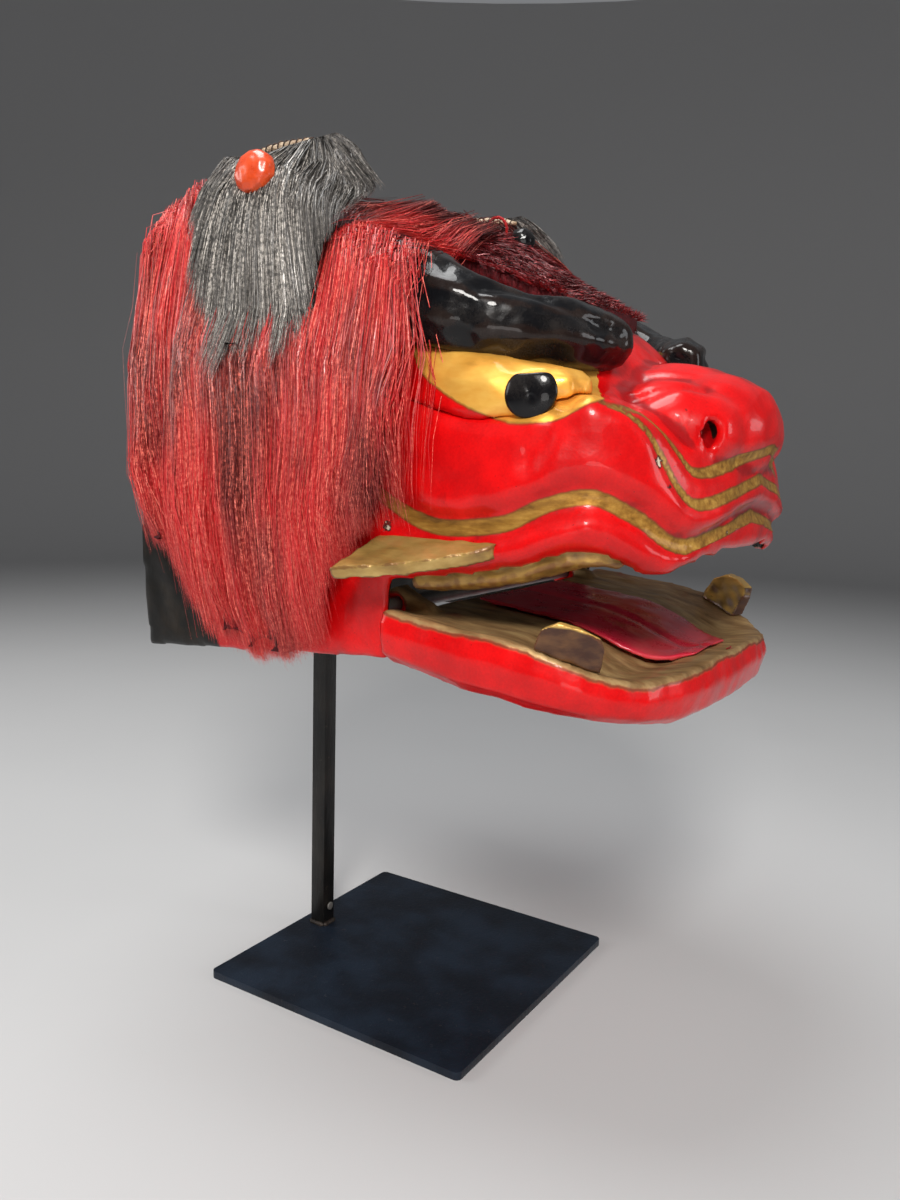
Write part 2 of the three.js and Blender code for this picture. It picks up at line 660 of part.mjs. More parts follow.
function buildCrownHair(mane) {
  const front = -crownHairFront * faceReach;
  const rear = crownHairRear * faceReach;
  const spread = halfWidth * crownHairSpread;
  const shape = new THREE.Shape();
  shape.moveTo(-spread, rear);
  shape.quadraticCurveTo(-spread, front * 0.75, -spread * 0.55, front * 0.93);
  shape.quadraticCurveTo(-spread * 0.25, front * 1.05, 0, front * 1.04);
  shape.quadraticCurveTo(spread * 0.25, front * 1.05, spread * 0.55, front * 0.93);
  shape.quadraticCurveTo(spread, front * 0.75, spread, rear);
  const depth = 2 * headHeight;
  const column = new THREE.ExtrudeGeometry(shape, { depth, bevelEnabled: false, curveSegments: 6 });
  column.translate(0, 0, rimZ);
  const brow = rollOnHead(browRows, browSize, seatGap);
  const hair = headForm(crownHairThick).intersect(solidOf(column));
  const grown = growSlightly(mane);
  const behind = sideSlab(sideOutline(maneOutline), -farOut, farOut);
  return largest(cutAll(hair, [seatForm, brow, mirror(brow), behind, grown, mirror(grown)]));
}

// A copy of a right-hand hair solid, spread a little so that its neighbour stays clear of it
function growSlightly(solid) {
  const shifts = [[0, -1, 0], [0, 1, 0], [1, 0, 0], [0, 0, -1], [0, 0, 1]];
  const copies = shifts.map(([x, y, z]) => solid.translate(x * seatGap, y * seatGap, z * seatGap));
  return joinAll([solid, ...copies]);
}

function mirror(solid) {
  return solid.mirror([1, 0, 0]);
}

// Ears
const earProud = maneThick - 1;

function earSheet(inner, outer) {
  const bark = headForm(outer).subtract(headForm(inner));
  return bark.intersect(sideSlab(sideOutline(earOutline), -farOut, -earTopX));
}

function buildEar(mane) {
  return largest(earSheet(earProud, earProud + earThick).subtract(growSlightly(mane)));
}

function buildEarRim() {
  const level = ridgeLevel - earRimDown;
  const rows = [];
  const steps = 8;
  for (let s = 0; s <= steps; s += 1) {
    const t = s / steps;
    const y = THREE.MathUtils.lerp(earRimRear, earRimFront, t) * faceReach;
    const at = (headBack - y) / (headBack + turnY);
    const centre = formPoint(at, level, earProud + earThick + earRimRadius / 2);
    centre.y = y;
    const size = earRimRadius * (0.6 + 0.4 * Math.sin(Math.PI * t));
    rows.push({ centre, out: formNormal(at, level), wide: size, deep: size });
  }
  return roll(rows).subtract(headForm(earProud + earThick + seatGap));
}

function buildTack() {
  const y = tackPlace * faceReach;
  const at = (headBack - y) / (headBack + turnY);
  const level = ridgeLevel - tackDown;
  const out = formNormal(at, level);
  const profile = [new THREE.Vector2(0, -tackSunk)];
  profile.push(new THREE.Vector2(tackRadius, -tackSunk));
  for (let k = 0; k <= 4; k += 1) {
    const angle = k / 4 * Math.PI / 2;
    profile.push(new THREE.Vector2(tackRadius * Math.cos(angle), tackHeight * Math.sin(angle)));
  }
  const dome = new THREE.LatheGeometry(profile, 12);
  dome.applyQuaternion(new THREE.Quaternion().setFromUnitVectors(new THREE.Vector3(0, 1, 0), out));
  const seat = formPoint(at, level, earProud + earThick);
  dome.translate(seat.x, y, seat.z);
  return largest(solidOf(dome).subtract(headForm(earProud + earThick + seatGap)));
}

// Lower jaw
const jawStations = [0, 0.5, 1];
for (let k = 1; k <= 12; k += 1) jawStations.push(1 + k / 12);

function jawColumns(rails) {
  const keys = jawRows.map((row) => row.place);
  const rear = -seamY - seamGap;
  return jawStations.map((at) => {
    const top = jawRimZ + jawThick * throughKeys(keys, jawRows.map((row) => row.rim), at);
    const bottom = jawRimZ + jawThick * throughKeys(keys, jawRows.map((row) => row.belly), at);
    return rails.map(({ inset, up, lower = 0 }) => {
      const [x, y] = planPoint(at, rear, jawHalfWidth - inset, turnY, jawReach - inset, jawSquare);
      return new THREE.Vector3(x, y, THREE.MathUtils.lerp(bottom, top, up) - lower);
    });
  });
}

function jawDish(grow) {
  return closedForm(jawColumns([
    { inset: jawTuck - grow, up: 0.1, lower: grow },
    { inset: jawRimWidth - grow, up: 0, lower: grow },
    { inset: jawRimWidth / 4 - grow, up: 0.2 },
    { inset: -grow, up: 0.6 },
    { inset: jawRimWidth / 4 - grow, up: 1, lower: -grow },
    { inset: jawRimWidth + grow, up: 1, lower: 1 - grow },
    { inset: 2 * jawRimWidth + grow, up: 1, lower: jawRecess - grow },
  ]));
}

function buildJaw() {
  const dish = jawDish(0);
  const lug = new THREE.Shape();
  lug.moveTo(-seamY - lugRoot, pinZ - lugRadius);
  lug.lineTo(-pinY, pinZ - lugRadius);
  lug.absarc(-pinY, pinZ, lugRadius, -Math.PI / 2, Math.PI / 2, false);
  lug.lineTo(-seamY - lugRoot, pinZ);
  const bore = new THREE.Path();
  bore.absarc(-pinY, pinZ, pinRadius + pinPlay, 0, 2 * Math.PI, true);
  lug.holes.push(bore);
  const ear = new THREE.ExtrudeGeometry(lug, { depth: lugThick, bevelEnabled: false, curveSegments: 10 });
  ear.applyMatrix4(sidewaysFrame);
  ear.translate(lugX, 0, 0);
  const left = solidOf(ear);
  return joinAll([dish, left, mirror(left)]);
}

function buildPin() {
  const length = 2 * (halfWidth - wall - 1);
  const rod = new THREE.CylinderGeometry(pinRadius, pinRadius, length, 24);
  const cavity = hollow(wall + seatGap);
  return solidOf(moved(rod, 0, -pinY, pinZ, [0, 0, Math.PI / 2])).intersect(cavity);
}

function jawRimPoint(at, inset) {
  const columns = jawColumns([{ inset, up: 1 }]);
  const next = jawStations.findIndex((station) => station >= at);
  const t = (at - jawStations[next - 1]) / (jawStations[next] - jawStations[next - 1]);
  return columns[next - 1][0].clone().lerp(columns[next][0], t);
}

// A lower fang is a flat plate that stands on the jaw's rim and leans outwards
function buildFang() {
  const section = [[0, 0], [1, 0], [1, 0.55], [1, 1], [0, 1], [0, 0.55]];
  const rings = fangRows.map((row) => {
    const foot = jawRimPoint(row.place, fangInset);
    const out = foot.clone().sub(jawRimPoint(row.place - 0.05, fangInset)).setZ(0);
    out.set(-Math.abs(out.y), -Math.abs(out.x), 0).normalize();
    return section.map(([side, share]) => {
      const height = THREE.MathUtils.lerp(row.low, row.high, share);
      const inward = side === 0 ? fangThick * (1 - share / 4) : 0;
      return foot.clone().addScaledVector(out, height * fangFlare - inward).setZ(foot.z + height);
    });
  });
  return largest(tube(rings).subtract(jawDish(seatGap)));
}

function buildTongue() {
  const rear = -seamY - seamGap - tongueRoot;
  const tip = -jawReach + jawRimWidth * tongueLap;
  const half = tongueHalf;
  const shape = new THREE.Shape();
  shape.moveTo(-half, rear);
  shape.lineTo(-half, tip + tongueTip);
  shape.quadraticCurveTo(-half * tongueFull, tip + tongueBlunt, 0, tip);
  shape.quadraticCurveTo(half * tongueFull, tip + tongueBlunt, half, tip + tongueTip);
  shape.lineTo(half, rear);
  const depth = tongueCutterDown + tongueCutterUp;
  const leaf = new THREE.ExtrudeGeometry(shape, { depth, bevelEnabled: false, curveSegments: 10 });
  leaf.translate(0, 0, jawRimZ - tongueCutterDown);
  const slab = closedForm(jawColumns([
    { inset: 0, up: 1, lower: jawRecess + 1 },
    { inset: 0, up: 1, lower: -tongueProud },
  ]));
  return largest(cutAll(solidOf(leaf).intersect(slab), [jawDish(seatGap)]));
}

// Stand
function buildPlate() {
  const half = plateSide / 2;
  const shape = new THREE.Shape();
  shape.moveTo(-half + plateCorner, -half);
  shape.lineTo(half - plateCorner, -half);
  shape.absarc(half - plateCorner, -half + plateCorner, plateCorner, -Math.PI / 2, 0, false);
  shape.absarc(half - plateCorner, half - plateCorner, plateCorner, 0, Math.PI / 2, false);
  shape.absarc(-half + plateCorner, half - plateCorner, plateCorner, Math.PI / 2, Math.PI, false);
  shape.absarc(-half + plateCorner, -half + plateCorner, plateCorner, Math.PI, 1.5 * Math.PI, false);
  const options = { depth: plateThick, bevelEnabled: false, curveSegments: 5 };
  return solidOf(new THREE.ExtrudeGeometry(shape, options));
}

function buildPost() {
  const top = rimZ + headHeight * 1.1;
  const bar = new THREE.BoxGeometry(postWidth, postWidth, top - plateThick - seatGap);
  const rod = solidOf(moved(bar, 0, postY, (top + plateThick + seatGap) / 2));
  const ceiling = hollow(wall + seatGap, farOut);
  const pad = new THREE.BoxGeometry(saddleSide, saddleSide, headHeight / 3);
  const under = hollow(wall + seatGap + saddleThick, farOut);
  const saddle = solidOf(moved(pad, 0, postY, rimZ + headHeight)).intersect(ceiling).subtract(under);
  return rod.intersect(ceiling).add(saddle);
}

function buildScrew() {
  const head = new THREE.CylinderGeometry(screwRadius * 0.8, screwRadius, screwHeadThick, 16);
  const y = postY - postWidth / 2 - seatGap - screwHeadThick / 2;
  return solidOf(moved(head, 0, y, plateThick + screwHeight));
}

// Small ties on the crown
function ridgePoint(y) {
  let rear = 0;
  let front = 2;
  for (let step = 0; step < 30; step += 1) {
    const middle = (rear + front) / 2;
    if (formPoint(middle, folds.length - 1, crownHairThick).y > y) rear = middle;
    else front = middle;
  }
  return formPoint(rear, folds.length - 1, crownHairThick);
}

function buildKnob() {
  const base = ridgePoint(-knobPlace * faceReach);
  const ball = new THREE.SphereGeometry(knobSize, 12, 8);
  return solidOf(moved(ball, 0, base.y, base.z)).subtract(headForm(crownHairThick + seatGap));
}

function buildTie() {
  const base = ridgePoint(-tiePlace * faceReach);
  const loop = new THREE.TorusGeometry(tieRadius, tieThread, 6, 14);
  const arch = solidOf(moved(loop, 0, base.y, base.z + tieLift, [tieLean, tieTurn, 0]));
  return largest(arch.subtract(headForm(crownHairThick + seatGap)));
}

// Assembly
const lionHead = new THREE.Group();

function addNode(name, solid, color, roughness, metalness = 0) {
  const material = new THREE.MeshStandardMaterial({ color, roughness, metalness });
  const mesh = new THREE.Mesh(geometryOf(solid), material);
  mesh.name = name;
  lionHead.add(mesh);
}

function addPair(name, solid, ...finish) {
  addNode(`${name}_right`, solid, ...finish);
  addNode(`${name}_left`, mirror(solid), ...finish);
}

const mane = buildMane();

addNode("head_shell", buildHeadShell(), colours.redLacquer, 0.2);
addPair("brow", buildBrow(), colours.blackLacquer, 0.12);
addPair("eye", buildEye(), colours.gold, 0.4, 0.4);
addPair("pupil", buildPupil(), colours.blackLacquer, 0.15);
addPair("upper_gum", buildGum(), colours.gold, 0.4, 0.4);
addPair("side_tusk", buildTusk(), colours.gold, 0.4, 0.4);
addNode("lower_jaw", buildJaw(), colours.redLacquer, 0.2);
addPair("lower_fang", buildFang(), colours.oldGold, 0.35, 0.4);
addNode("tongue", buildTongue(), colours.tongue, 0.35);
addNode("jaw_pin", buildPin(), colours.steel, 0.5, 1);
addPair("mane", mane, colours.redHair, 0.6);
addNode("crown_hair", buildCrownHair(mane), colours.redHair, 0.6);
addNode("crown_knob", buildKnob(), colours.blackLacquer, 0.3);
addNode("crown_tie", buildTie(), colours.thread, 0.8);
addPair("ear_flap", buildEar(mane), colours.darkHair, 0.6);
addPair("ear_rim", buildEarRim(), colours.rawhide, 0.8);
addPair("ear_tack", buildTack(), colours.tack, 0.4);
addNode("stand_plate", buildPlate(), colours.steel, 0.5, 0.6);
addNode("stand_post", buildPost(), colours.steel, 0.5, 0.6);
addNode("stand_screw", buildScrew(), colours.steel, 0.4, 0.8);

export default lionHead;
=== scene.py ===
"""Looks of the lion dance head and its stand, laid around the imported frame."""
import math

import bpy
import numpy as np
from mathutils import Matrix, Vector
from mathutils.bvhtree import BVHTree


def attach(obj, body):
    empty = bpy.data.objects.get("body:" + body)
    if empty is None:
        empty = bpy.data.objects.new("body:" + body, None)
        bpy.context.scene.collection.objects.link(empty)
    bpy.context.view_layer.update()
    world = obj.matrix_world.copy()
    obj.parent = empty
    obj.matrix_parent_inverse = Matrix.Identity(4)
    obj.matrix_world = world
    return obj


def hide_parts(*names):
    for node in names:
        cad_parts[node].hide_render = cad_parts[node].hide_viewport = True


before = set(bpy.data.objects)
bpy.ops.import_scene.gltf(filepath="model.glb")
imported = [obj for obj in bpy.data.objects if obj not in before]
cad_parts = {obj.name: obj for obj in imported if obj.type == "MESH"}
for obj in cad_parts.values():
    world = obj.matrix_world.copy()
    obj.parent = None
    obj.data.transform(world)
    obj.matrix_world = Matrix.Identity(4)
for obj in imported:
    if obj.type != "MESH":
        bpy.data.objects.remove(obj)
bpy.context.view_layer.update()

MM = 0.001
SIDES = (("right", -1.0), ("left", 1.0))


def added(name, data):
    thing = bpy.data.objects.new(name, data)
    bpy.context.scene.collection.objects.link(thing)
    return thing


# Camera at the photograph's viewing angle: metres and degrees
CAMERA_SPOT = (-0.5485, -0.3687, 0.3592)
CAMERA_YAW, CAMERA_DIP, CAMERA_ROLL = 57.67, 8.47, 1.64
CAMERA_LENS, CAMERA_SENSOR = 29.61, 36.0


def place_camera():
    yaw, dip, roll = (math.radians(a) for a in (CAMERA_YAW, CAMERA_DIP, CAMERA_ROLL))
    forward = Vector((math.sin(yaw) * math.cos(dip), math.cos(yaw) * math.cos(dip), -math.sin(dip)))
    across = Vector((math.cos(yaw), -math.sin(yaw), 0.0))
    up = across.cross(forward)
    right = math.cos(roll) * across + math.sin(roll) * up
    top = math.cos(roll) * up - math.sin(roll) * across
    data = bpy.data.cameras.new("camera")
    data.lens = CAMERA_LENS
    data.sensor_width = CAMERA_SENSOR
    data.clip_start = 0.01
    camera = added("camera", data)
    turn = Matrix((right, top, -forward)).transposed().to_4x4()
    camera.matrix_world = Matrix.Translation(CAMERA_SPOT) @ turn
    bpy.context.scene.camera = camera


# Soft studio light: each lamp's place, aim, size, power and tint
LAMPS = {
    "key": ((-1.3, -0.75, 1.35), (0, -0.05, 0.36), 0.5, 30.0, (1.0, 0.97, 0.93)),
    "fill": ((0.5, -1.7, 0.7), (0, -0.1, 0.35), 0.7, 5.0, (0.95, 0.97, 1.0)),
    "low_fill": ((-1.3, -0.9, 0.1), (0, -0.1, 0.3), 0.6, 3.0, (1.0, 0.96, 0.94)),
    "top": ((-0.1, 0.25, 1.75), (0, 0, 0.4), 0.8, 14.0, (1.0, 1.0, 1.0)),
    "rear": ((-0.9, 1.5, 0.9), (0, 0.05, 0.38), 0.9, 10.0, (1.0, 0.97, 0.95)),
}
ROOM_TINT = (0.82, 0.84, 0.87)
ROOM_GLOW = 0.24


def place_light(name, spot, aim, size, power, tint):
    data = bpy.data.lights.new(name, "AREA")
    data.shape = "DISK"
    data.size = size
    data.energy = power
    data.color = tint
    light = added(name, data)
    light.location = spot
    light.rotation_euler = (Vector(aim) - Vector(spot)).to_track_quat("-Z", "Y").to_euler()


def place_studio():
    for name, lamp in LAMPS.items():
        place_light(name, *lamp)
    world = bpy.data.worlds.new("studio")
    world.use_nodes = True
    glow = world.node_tree.nodes["Background"].inputs
    glow["Color"].default_value = (*ROOM_TINT, 1)
    glow["Strength"].default_value = ROOM_GLOW
    bpy.context.scene.world = world
    bpy.context.scene.view_settings.view_transform = "Standard"


# Pale floor that sweeps up into a round backdrop, in metres
FLOOR_RADIUS = 2.6
SWEEP_RADIUS = 0.9
SWEEP_STEP = math.radians(10)
WALL_HEIGHT = 1.2
FLOOR_NEAR = ((0.52, 0.525, 0.53), (0.56, 0.565, 0.57))
WALL_GREY = (0.27, 0.27, 0.275)


def lay_floor():
    bpy.ops.object.select_all(action="DESELECT")
    bpy.ops.mesh.primitive_circle_add(vertices=96, radius=FLOOR_RADIUS, fill_type="TRIFAN")
    floor = bpy.context.object
    floor.name = "floor"
    bpy.ops.object.mode_set(mode="EDIT")
    bpy.ops.mesh.select_mode(type="EDGE")
    bpy.ops.mesh.select_all(action="DESELECT")
    bpy.ops.mesh.select_non_manifold()
    rise = 0.0
    before = FLOOR_RADIUS
    for step in range(1, 10):
        lift = SWEEP_RADIUS * (1 - math.cos(step * SWEEP_STEP)) - rise
        rise += lift
        reach = FLOOR_RADIUS + SWEEP_RADIUS * math.sin(step * SWEEP_STEP)
        bpy.ops.mesh.extrude_edges_move(TRANSFORM_OT_translate={"value": (0, 0, lift)})
        bpy.ops.transform.resize(value=(reach / before, reach / before, 1))
        before = reach
    bpy.ops.mesh.extrude_edges_move(TRANSFORM_OT_translate={"value": (0, 0, WALL_HEIGHT)})
    bpy.ops.object.mode_set(mode="OBJECT")
    bpy.ops.object.shade_smooth()
    finish = Finish("studio_floor", {"Roughness": 0.7})
    pale = finish.blend(*FLOOR_NEAR, finish.noise(3.0, 2))
    reach = finish.node("ShaderNodeVectorMath", operation="LENGTH")
    finish.put(reach.inputs[0], finish.place())
    far = finish.span(reach.outputs["Value"], 0.9, 2.7)
    finish.feed("Base Color", finish.blend(pale, WALL_GREY, far))
    dress(floor, finish)


# Wiring of node trees
class Wires:
    def __init__(self, tree):
        self.tree = tree

    def node(self, kind, **values):
        made = self.tree.nodes.new(kind)
        for key, value in values.items():
            setattr(made, key, value)
        return made

    def put(self, socket, value):
        if isinstance(value, bpy.types.NodeSocket):
            self.tree.links.new(value, socket)
        elif socket.type == "RGBA":
            socket.default_value = (*value, 1)
        else:
            socket.default_value = value

    def place(self):
        return self.node("ShaderNodeTexCoord").outputs["Object"]

    def stretched(self, scale):
        mapping = self.node("ShaderNodeMapping")
        self.put(mapping.inputs["Vector"], self.place())
        mapping.inputs["Scale"].default_value = scale
        return mapping.outputs[0]

    def noise(self, scale, detail=3.0, vector=None, rough=0.55):
        made = self.node("ShaderNodeTexNoise")
        self.put(made.inputs["Vector"], self.place() if vector is None else vector)
        self.put(made.inputs["Scale"], scale)
        made.inputs["Detail"].default_value = detail
        made.inputs["Roughness"].default_value = rough
        return made.outputs["Fac"]

    def cells(self, scale, vector=None):
        made = self.node("ShaderNodeTexVoronoi")
        self.put(made.inputs["Vector"], self.place() if vector is None else vector)
        self.put(made.inputs["Scale"], scale)
        return made.outputs["Distance"]

    def reckon(self, operation, first, second=0.0, clamp=False):
        made = self.node("ShaderNodeMath", operation=operation, use_clamp=clamp)
        self.put(made.inputs[0], first)
        self.put(made.inputs[1], second)
        return made.outputs[0]

    def plus(self, first, second):
        return self.reckon("ADD", first, second)

    def minus(self, first, second, clamp=False):
        return self.reckon("SUBTRACT", first, second, clamp)

    def times(self, first, second, clamp=False):
        return self.reckon("MULTIPLY", first, second, clamp)

    def wobble(self, size, *noise, **rough):
        return self.times(self.minus(self.noise(*noise, **rough), 0.5), size)

    def span(self, value, low, high, out_low=0.0, out_high=1.0):
        made = self.node("ShaderNodeMapRange", interpolation_type="SMOOTHSTEP")
        for key, part in (("Value", value), ("From Min", low), ("From Max", high), ("To Min", out_low),
                          ("To Max", out_high)):
            self.put(made.inputs[key], part)
        return made.outputs["Result"]

    def blend(self, first, second, share, kind="MIX"):
        made = self.node("ShaderNodeMix", data_type="RGBA", blend_type=kind)
        self.put(made.inputs[0], share)
        self.put(made.inputs[6], first)
        self.put(made.inputs[7], second)
        return made.outputs[2]

    def ramp(self, value, stops):
        made = self.node("ShaderNodeValToRGB")
        band = made.color_ramp
        while len(band.elements) < len(stops):
            band.elements.new(0.5)
        for element, (spot, colour) in zip(band.elements, stops):
            element.position = spot
            element.color = (*colour, 1)
        self.put(made.inputs[0], value)
        return made.outputs[0]

    def mark(self, name):
        return self.node("ShaderNodeAttribute", attribute_name=name).outputs["Fac"]

    def group(self, tree, **values):
        made = self.node("ShaderNodeGroup", node_tree=tree)
        for key, value in values.items():
            self.put(made.inputs[key.replace("_", " ")], value)
        return made.outputs


class Finish(Wires):
    def __init__(self, name, plain):
        self.material = bpy.data.materials.new(name)
        self.material.use_nodes = True
        super().__init__(self.material.node_tree)
        self.tree.nodes.clear()
        self.shader = self.node("ShaderNodeBsdfPrincipled")
        end = self.node("ShaderNodeOutputMaterial")
        self.tree.links.new(self.shader.outputs[0], end.inputs[0])
        for key, value in plain.items():
            self.shader.inputs[key].default_value = value

    def feed(self, key, value):
        self.put(self.shader.inputs[key], value)

    def emboss(self, height, depth):
        bump = self.node("ShaderNodeBump")
        bump.inputs["Strength"].default_value = 1.0
        bump.inputs["Distance"].default_value = depth
        self.put(bump.inputs["Height"], height)
        self.feed("Normal", bump.outputs[0])


def dress(piece, finish):
    piece.data.materials.clear()
    piece.data.materials.append(finish.material)


# Effects shared by several finishes
def effect(name, inputs, outputs):
    tree = bpy.data.node_groups.new(name, "ShaderNodeTree")
    for key, value in inputs:
        socket = tree.interface.new_socket(name=key, in_out="INPUT", socket_type="NodeSocketFloat")
        socket.default_value = value
    for key, kind in outputs:
        tree.interface.new_socket(name=key, in_out="OUTPUT", socket_type=kind)
    wires = Wires(tree)
    return wires, wires.node("NodeGroupInput").outputs, wires.node("NodeGroupOutput").inputs


def hand_tooling():
    wires, given, out = effect("hand_tooling", [("Facet", 90.0), ("Grain", 600.0)],
                               [("Height", "NodeSocketFloat"), ("Tone", "NodeSocketFloat")])
    facets = wires.cells(given["Facet"])
    swell = wires.noise(wires.times(given["Facet"], 0.45), 2)
    grain = wires.noise(given["Grain"], 3)
    height = wires.plus(wires.times(facets, 0.35), wires.times(swell, 1.1))
    wires.put(out["Height"], wires.plus(height, wires.times(grain, 0.06)))
    wires.put(out["Tone"], wires.plus(wires.times(swell, 0.7), wires.times(grain, 0.3)))
    return wires.tree


def edge_wear_and_creases():
    wires, given, out = effect("edge_wear_and_creases", [("Cavity", 0.0), ("Reach", 1.0)],
                               [("Edge", "NodeSocketFloat"), ("Crease", "NodeSocketFloat")])
    ragged = wires.wobble(1.3, 220.0, 5, rough=0.7)
    level = wires.plus(wires.reckon("DIVIDE", given["Cavity"], given["Reach"]), ragged)
    # Edge marks edges that stand out, shown as worn; Crease marks hollows, which the finishes make darker
    wires.put(out["Edge"], wires.span(level, -0.75, -1.35))
    wires.put(out["Crease"], wires.span(level, 0.35, 1.2))
    return wires.tree


def brush_streaks():
    wires, given, out = effect("brush_streaks", [("Length", 25.0), ("Fineness", 160.0)],
                               [("Streak", "NodeSocketFloat"), ("Patch", "NodeSocketFloat")])
    warp = wires.node("ShaderNodeCombineXYZ")
    for key, fine in (("X", given["Fineness"]), ("Y", given["Length"]), ("Z", given["Fineness"])):
        wires.put(warp.inputs[key], fine)
    grown = wires.node("ShaderNodeVectorMath", operation="MULTIPLY")
    wires.put(grown.inputs[0], wires.place())
    wires.put(grown.inputs[1], warp.outputs[0])
    wires.put(out["Streak"], wires.noise(1.0, 4, vector=grown.outputs[0], rough=0.62))
    wires.put(out["Patch"], wires.noise(38.0, 3))
    return wires.tree


def strand_colour():
    wires, given, out = effect("strand_colour", [("Tone", 0.5), ("Along", 0.5)],
                               [("Light", "NodeSocketFloat"), ("Depth", "NodeSocketFloat")])
    locks = wires.noise(16.0, 3, vector=wires.stretched((1, 1, 0.35)))
    # Depth: low towards the roots and in streaks between locks, where the deep colour paints the shade in the
    # mane
    wires.put(out["Depth"], wires.span(wires.plus(locks, wires.times(given["Along"], 0.22)),
                                       0.45, 0.70))
    # Light: painted highlights, as glints on single strands, stronger for strands of high tone
    strand_glints = wires.span(wires.noise(520.0, 2, rough=0.7), 0.40, 0.64, 0.28, 2.0)
    wires.put(out["Light"], wires.times(wires.reckon("POWER", given["Tone"], 1.7), strand_glints, clamp=True))
    return wires.tree


# Meshes of pieces
def select_only(piece):
    bpy.ops.object.select_all(action="DESELECT")
    piece.select_set(True)
    bpy.context.view_layer.objects.active = piece


def copy_of(node, name):
    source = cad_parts[node]
    piece = source.copy()
    piece.data = source.data.copy()
    piece.name = name
    piece.data.name = name
    for key in list(piece.keys()):
        if key.startswith("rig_"):
            del piece[key]
    piece.data.transform(source.matrix_world)
    piece.parent = None
    piece.matrix_world = Matrix.Identity(4)
    bpy.context.scene.collection.objects.link(piece)
    piece.hide_render = False
    piece.hide_viewport = False
    piece.hide_set(False)
    select_only(piece)
    bpy.ops.object.mode_set(mode="EDIT")
    bpy.ops.mesh.select_all(action="SELECT")
    bpy.ops.mesh.remove_doubles(threshold=0.00002)
    bpy.ops.object.mode_set(mode="OBJECT")
    if piece.data.has_custom_normals:
        bpy.ops.mesh.customdata_custom_splitnormals_clear()
    return piece


def apply(piece, kind, **values):
    select_only(piece)
    modifier = piece.modifiers.new(kind.lower(), kind)
    for key, value in values.items():
        setattr(modifier, key, value)
    bpy.ops.object.modifier_apply(modifier=modifier.name)


def points(piece):
    spots = np.empty(len(piece.data.vertices) * 3)
    piece.data.vertices.foreach_get("co", spots)
    return spots.reshape(-1, 3)


def directions(piece):
    ways = np.empty(len(piece.data.vertices) * 3)
    piece.data.vertices.foreach_get("normal", ways)
    return ways.reshape(-1, 3)


def mirrored(spots):
    """Places of the lion's right side laid over those of its left."""
    return np.abs(spots) * np.array([1, 0, 0]) + spots * np.array([0, 1, 1])


def closed_outward(piece):
    select_only(piece)
    bpy.ops.object.mode_set(mode="EDIT")
    bpy.ops.mesh.select_all(action="SELECT")
    bpy.ops.mesh.normals_make_consistent(inside=False)
    bpy.ops.object.mode_set(mode="OBJECT")
    bpy.ops.object.shade_smooth()


def move_to(piece, spots):
    piece.data.vertices.foreach_set("co", np.ascontiguousarray(spots, dtype=np.float64).ravel())
    piece.data.update()


def note(piece, name, values):
    made = piece.data.attributes.new(name, "FLOAT", "POINT")
    made.data.foreach_set("value", np.ascontiguousarray(values, dtype=np.float32))


def neighbours(piece):
    pairs = np.empty(len(piece.data.edges) * 2, dtype=np.int32)
    piece.data.edges.foreach_get("vertices", pairs)
    first, second = pairs[::2], pairs[1::2]
    count = len(piece.data.vertices)
    degree = np.maximum(np.bincount(pairs, minlength=count), 1)[:, None]

    def mean(values):
        parts = [np.bincount(first, values[second, k], count) + np.bincount(second, values[first, k], count)
                 for k in range(values.shape[1])]
        return np.stack(parts, 1) / degree
    return mean


def relax(piece, rounds):
    mean = neighbours(piece)
    spots = points(piece)
    for step in range(2 * rounds):
        spots += (0.5, -0.52)[step % 2] * (mean(spots) - spots)
    move_to(piece, spots)


def cavity(piece, rounds):
    mean = neighbours(piece)
    spots = points(piece)
    soft = spots.copy()
    for _ in range(rounds):
        soft = mean(soft)
    return ((soft - spots) * directions(piece)).sum(1) / MM


def ripple(spots, length, seed):
    draw = np.random.default_rng(seed)
    total = np.zeros(len(spots))
    for _ in range(14):
        way = draw.normal(size=3)
        way *= 2 * math.pi / (length * MM * draw.uniform(0.7, 1.5) * np.linalg.norm(way))
        total += np.sin(spots @ way + draw.uniform(0, 2 * math.pi))
    return total / 14 ** 0.5


def carved(node, name, voxel, rounds, swell=0.15, length=14.0, seed=1):
    piece = copy_of(node, name)
    apply(piece, "REMESH", mode="VOXEL", voxel_size=voxel * MM)
    relax(piece, rounds)
    if swell:
        rise = ripple(points(piece), length, seed) * swell * MM
        move_to(piece, points(piece) + directions(piece) * rise[:, None])
    select_only(piece)
    bpy.ops.object.shade_smooth()
    note(piece, "cavity", cavity(piece, 6))
    return piece


def settle(piece, finish, body, slot, *nodes):
    dress(piece, finish)
    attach(piece, body)
    if nodes:
        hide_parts(*nodes)


def path_gap(spots, path):
    best = np.full(len(spots), 1e9)
    size = spots.shape[1]
    for start, end in zip(path[:-1], path[1:]):
        a, b = np.array(start[:size], float), np.array(end[:size], float)
        along = np.clip(((spots - a) @ (b - a)) / max((b - a) @ (b - a), 1e-9), 0, 1)
        gap = np.linalg.norm(spots - a - along[:, None] * (b - a), axis=1)
        if len(start) > size:
            gap = gap - (start[size] + along * (end[size] - start[size]))
        best = np.minimum(best, gap)
    return best


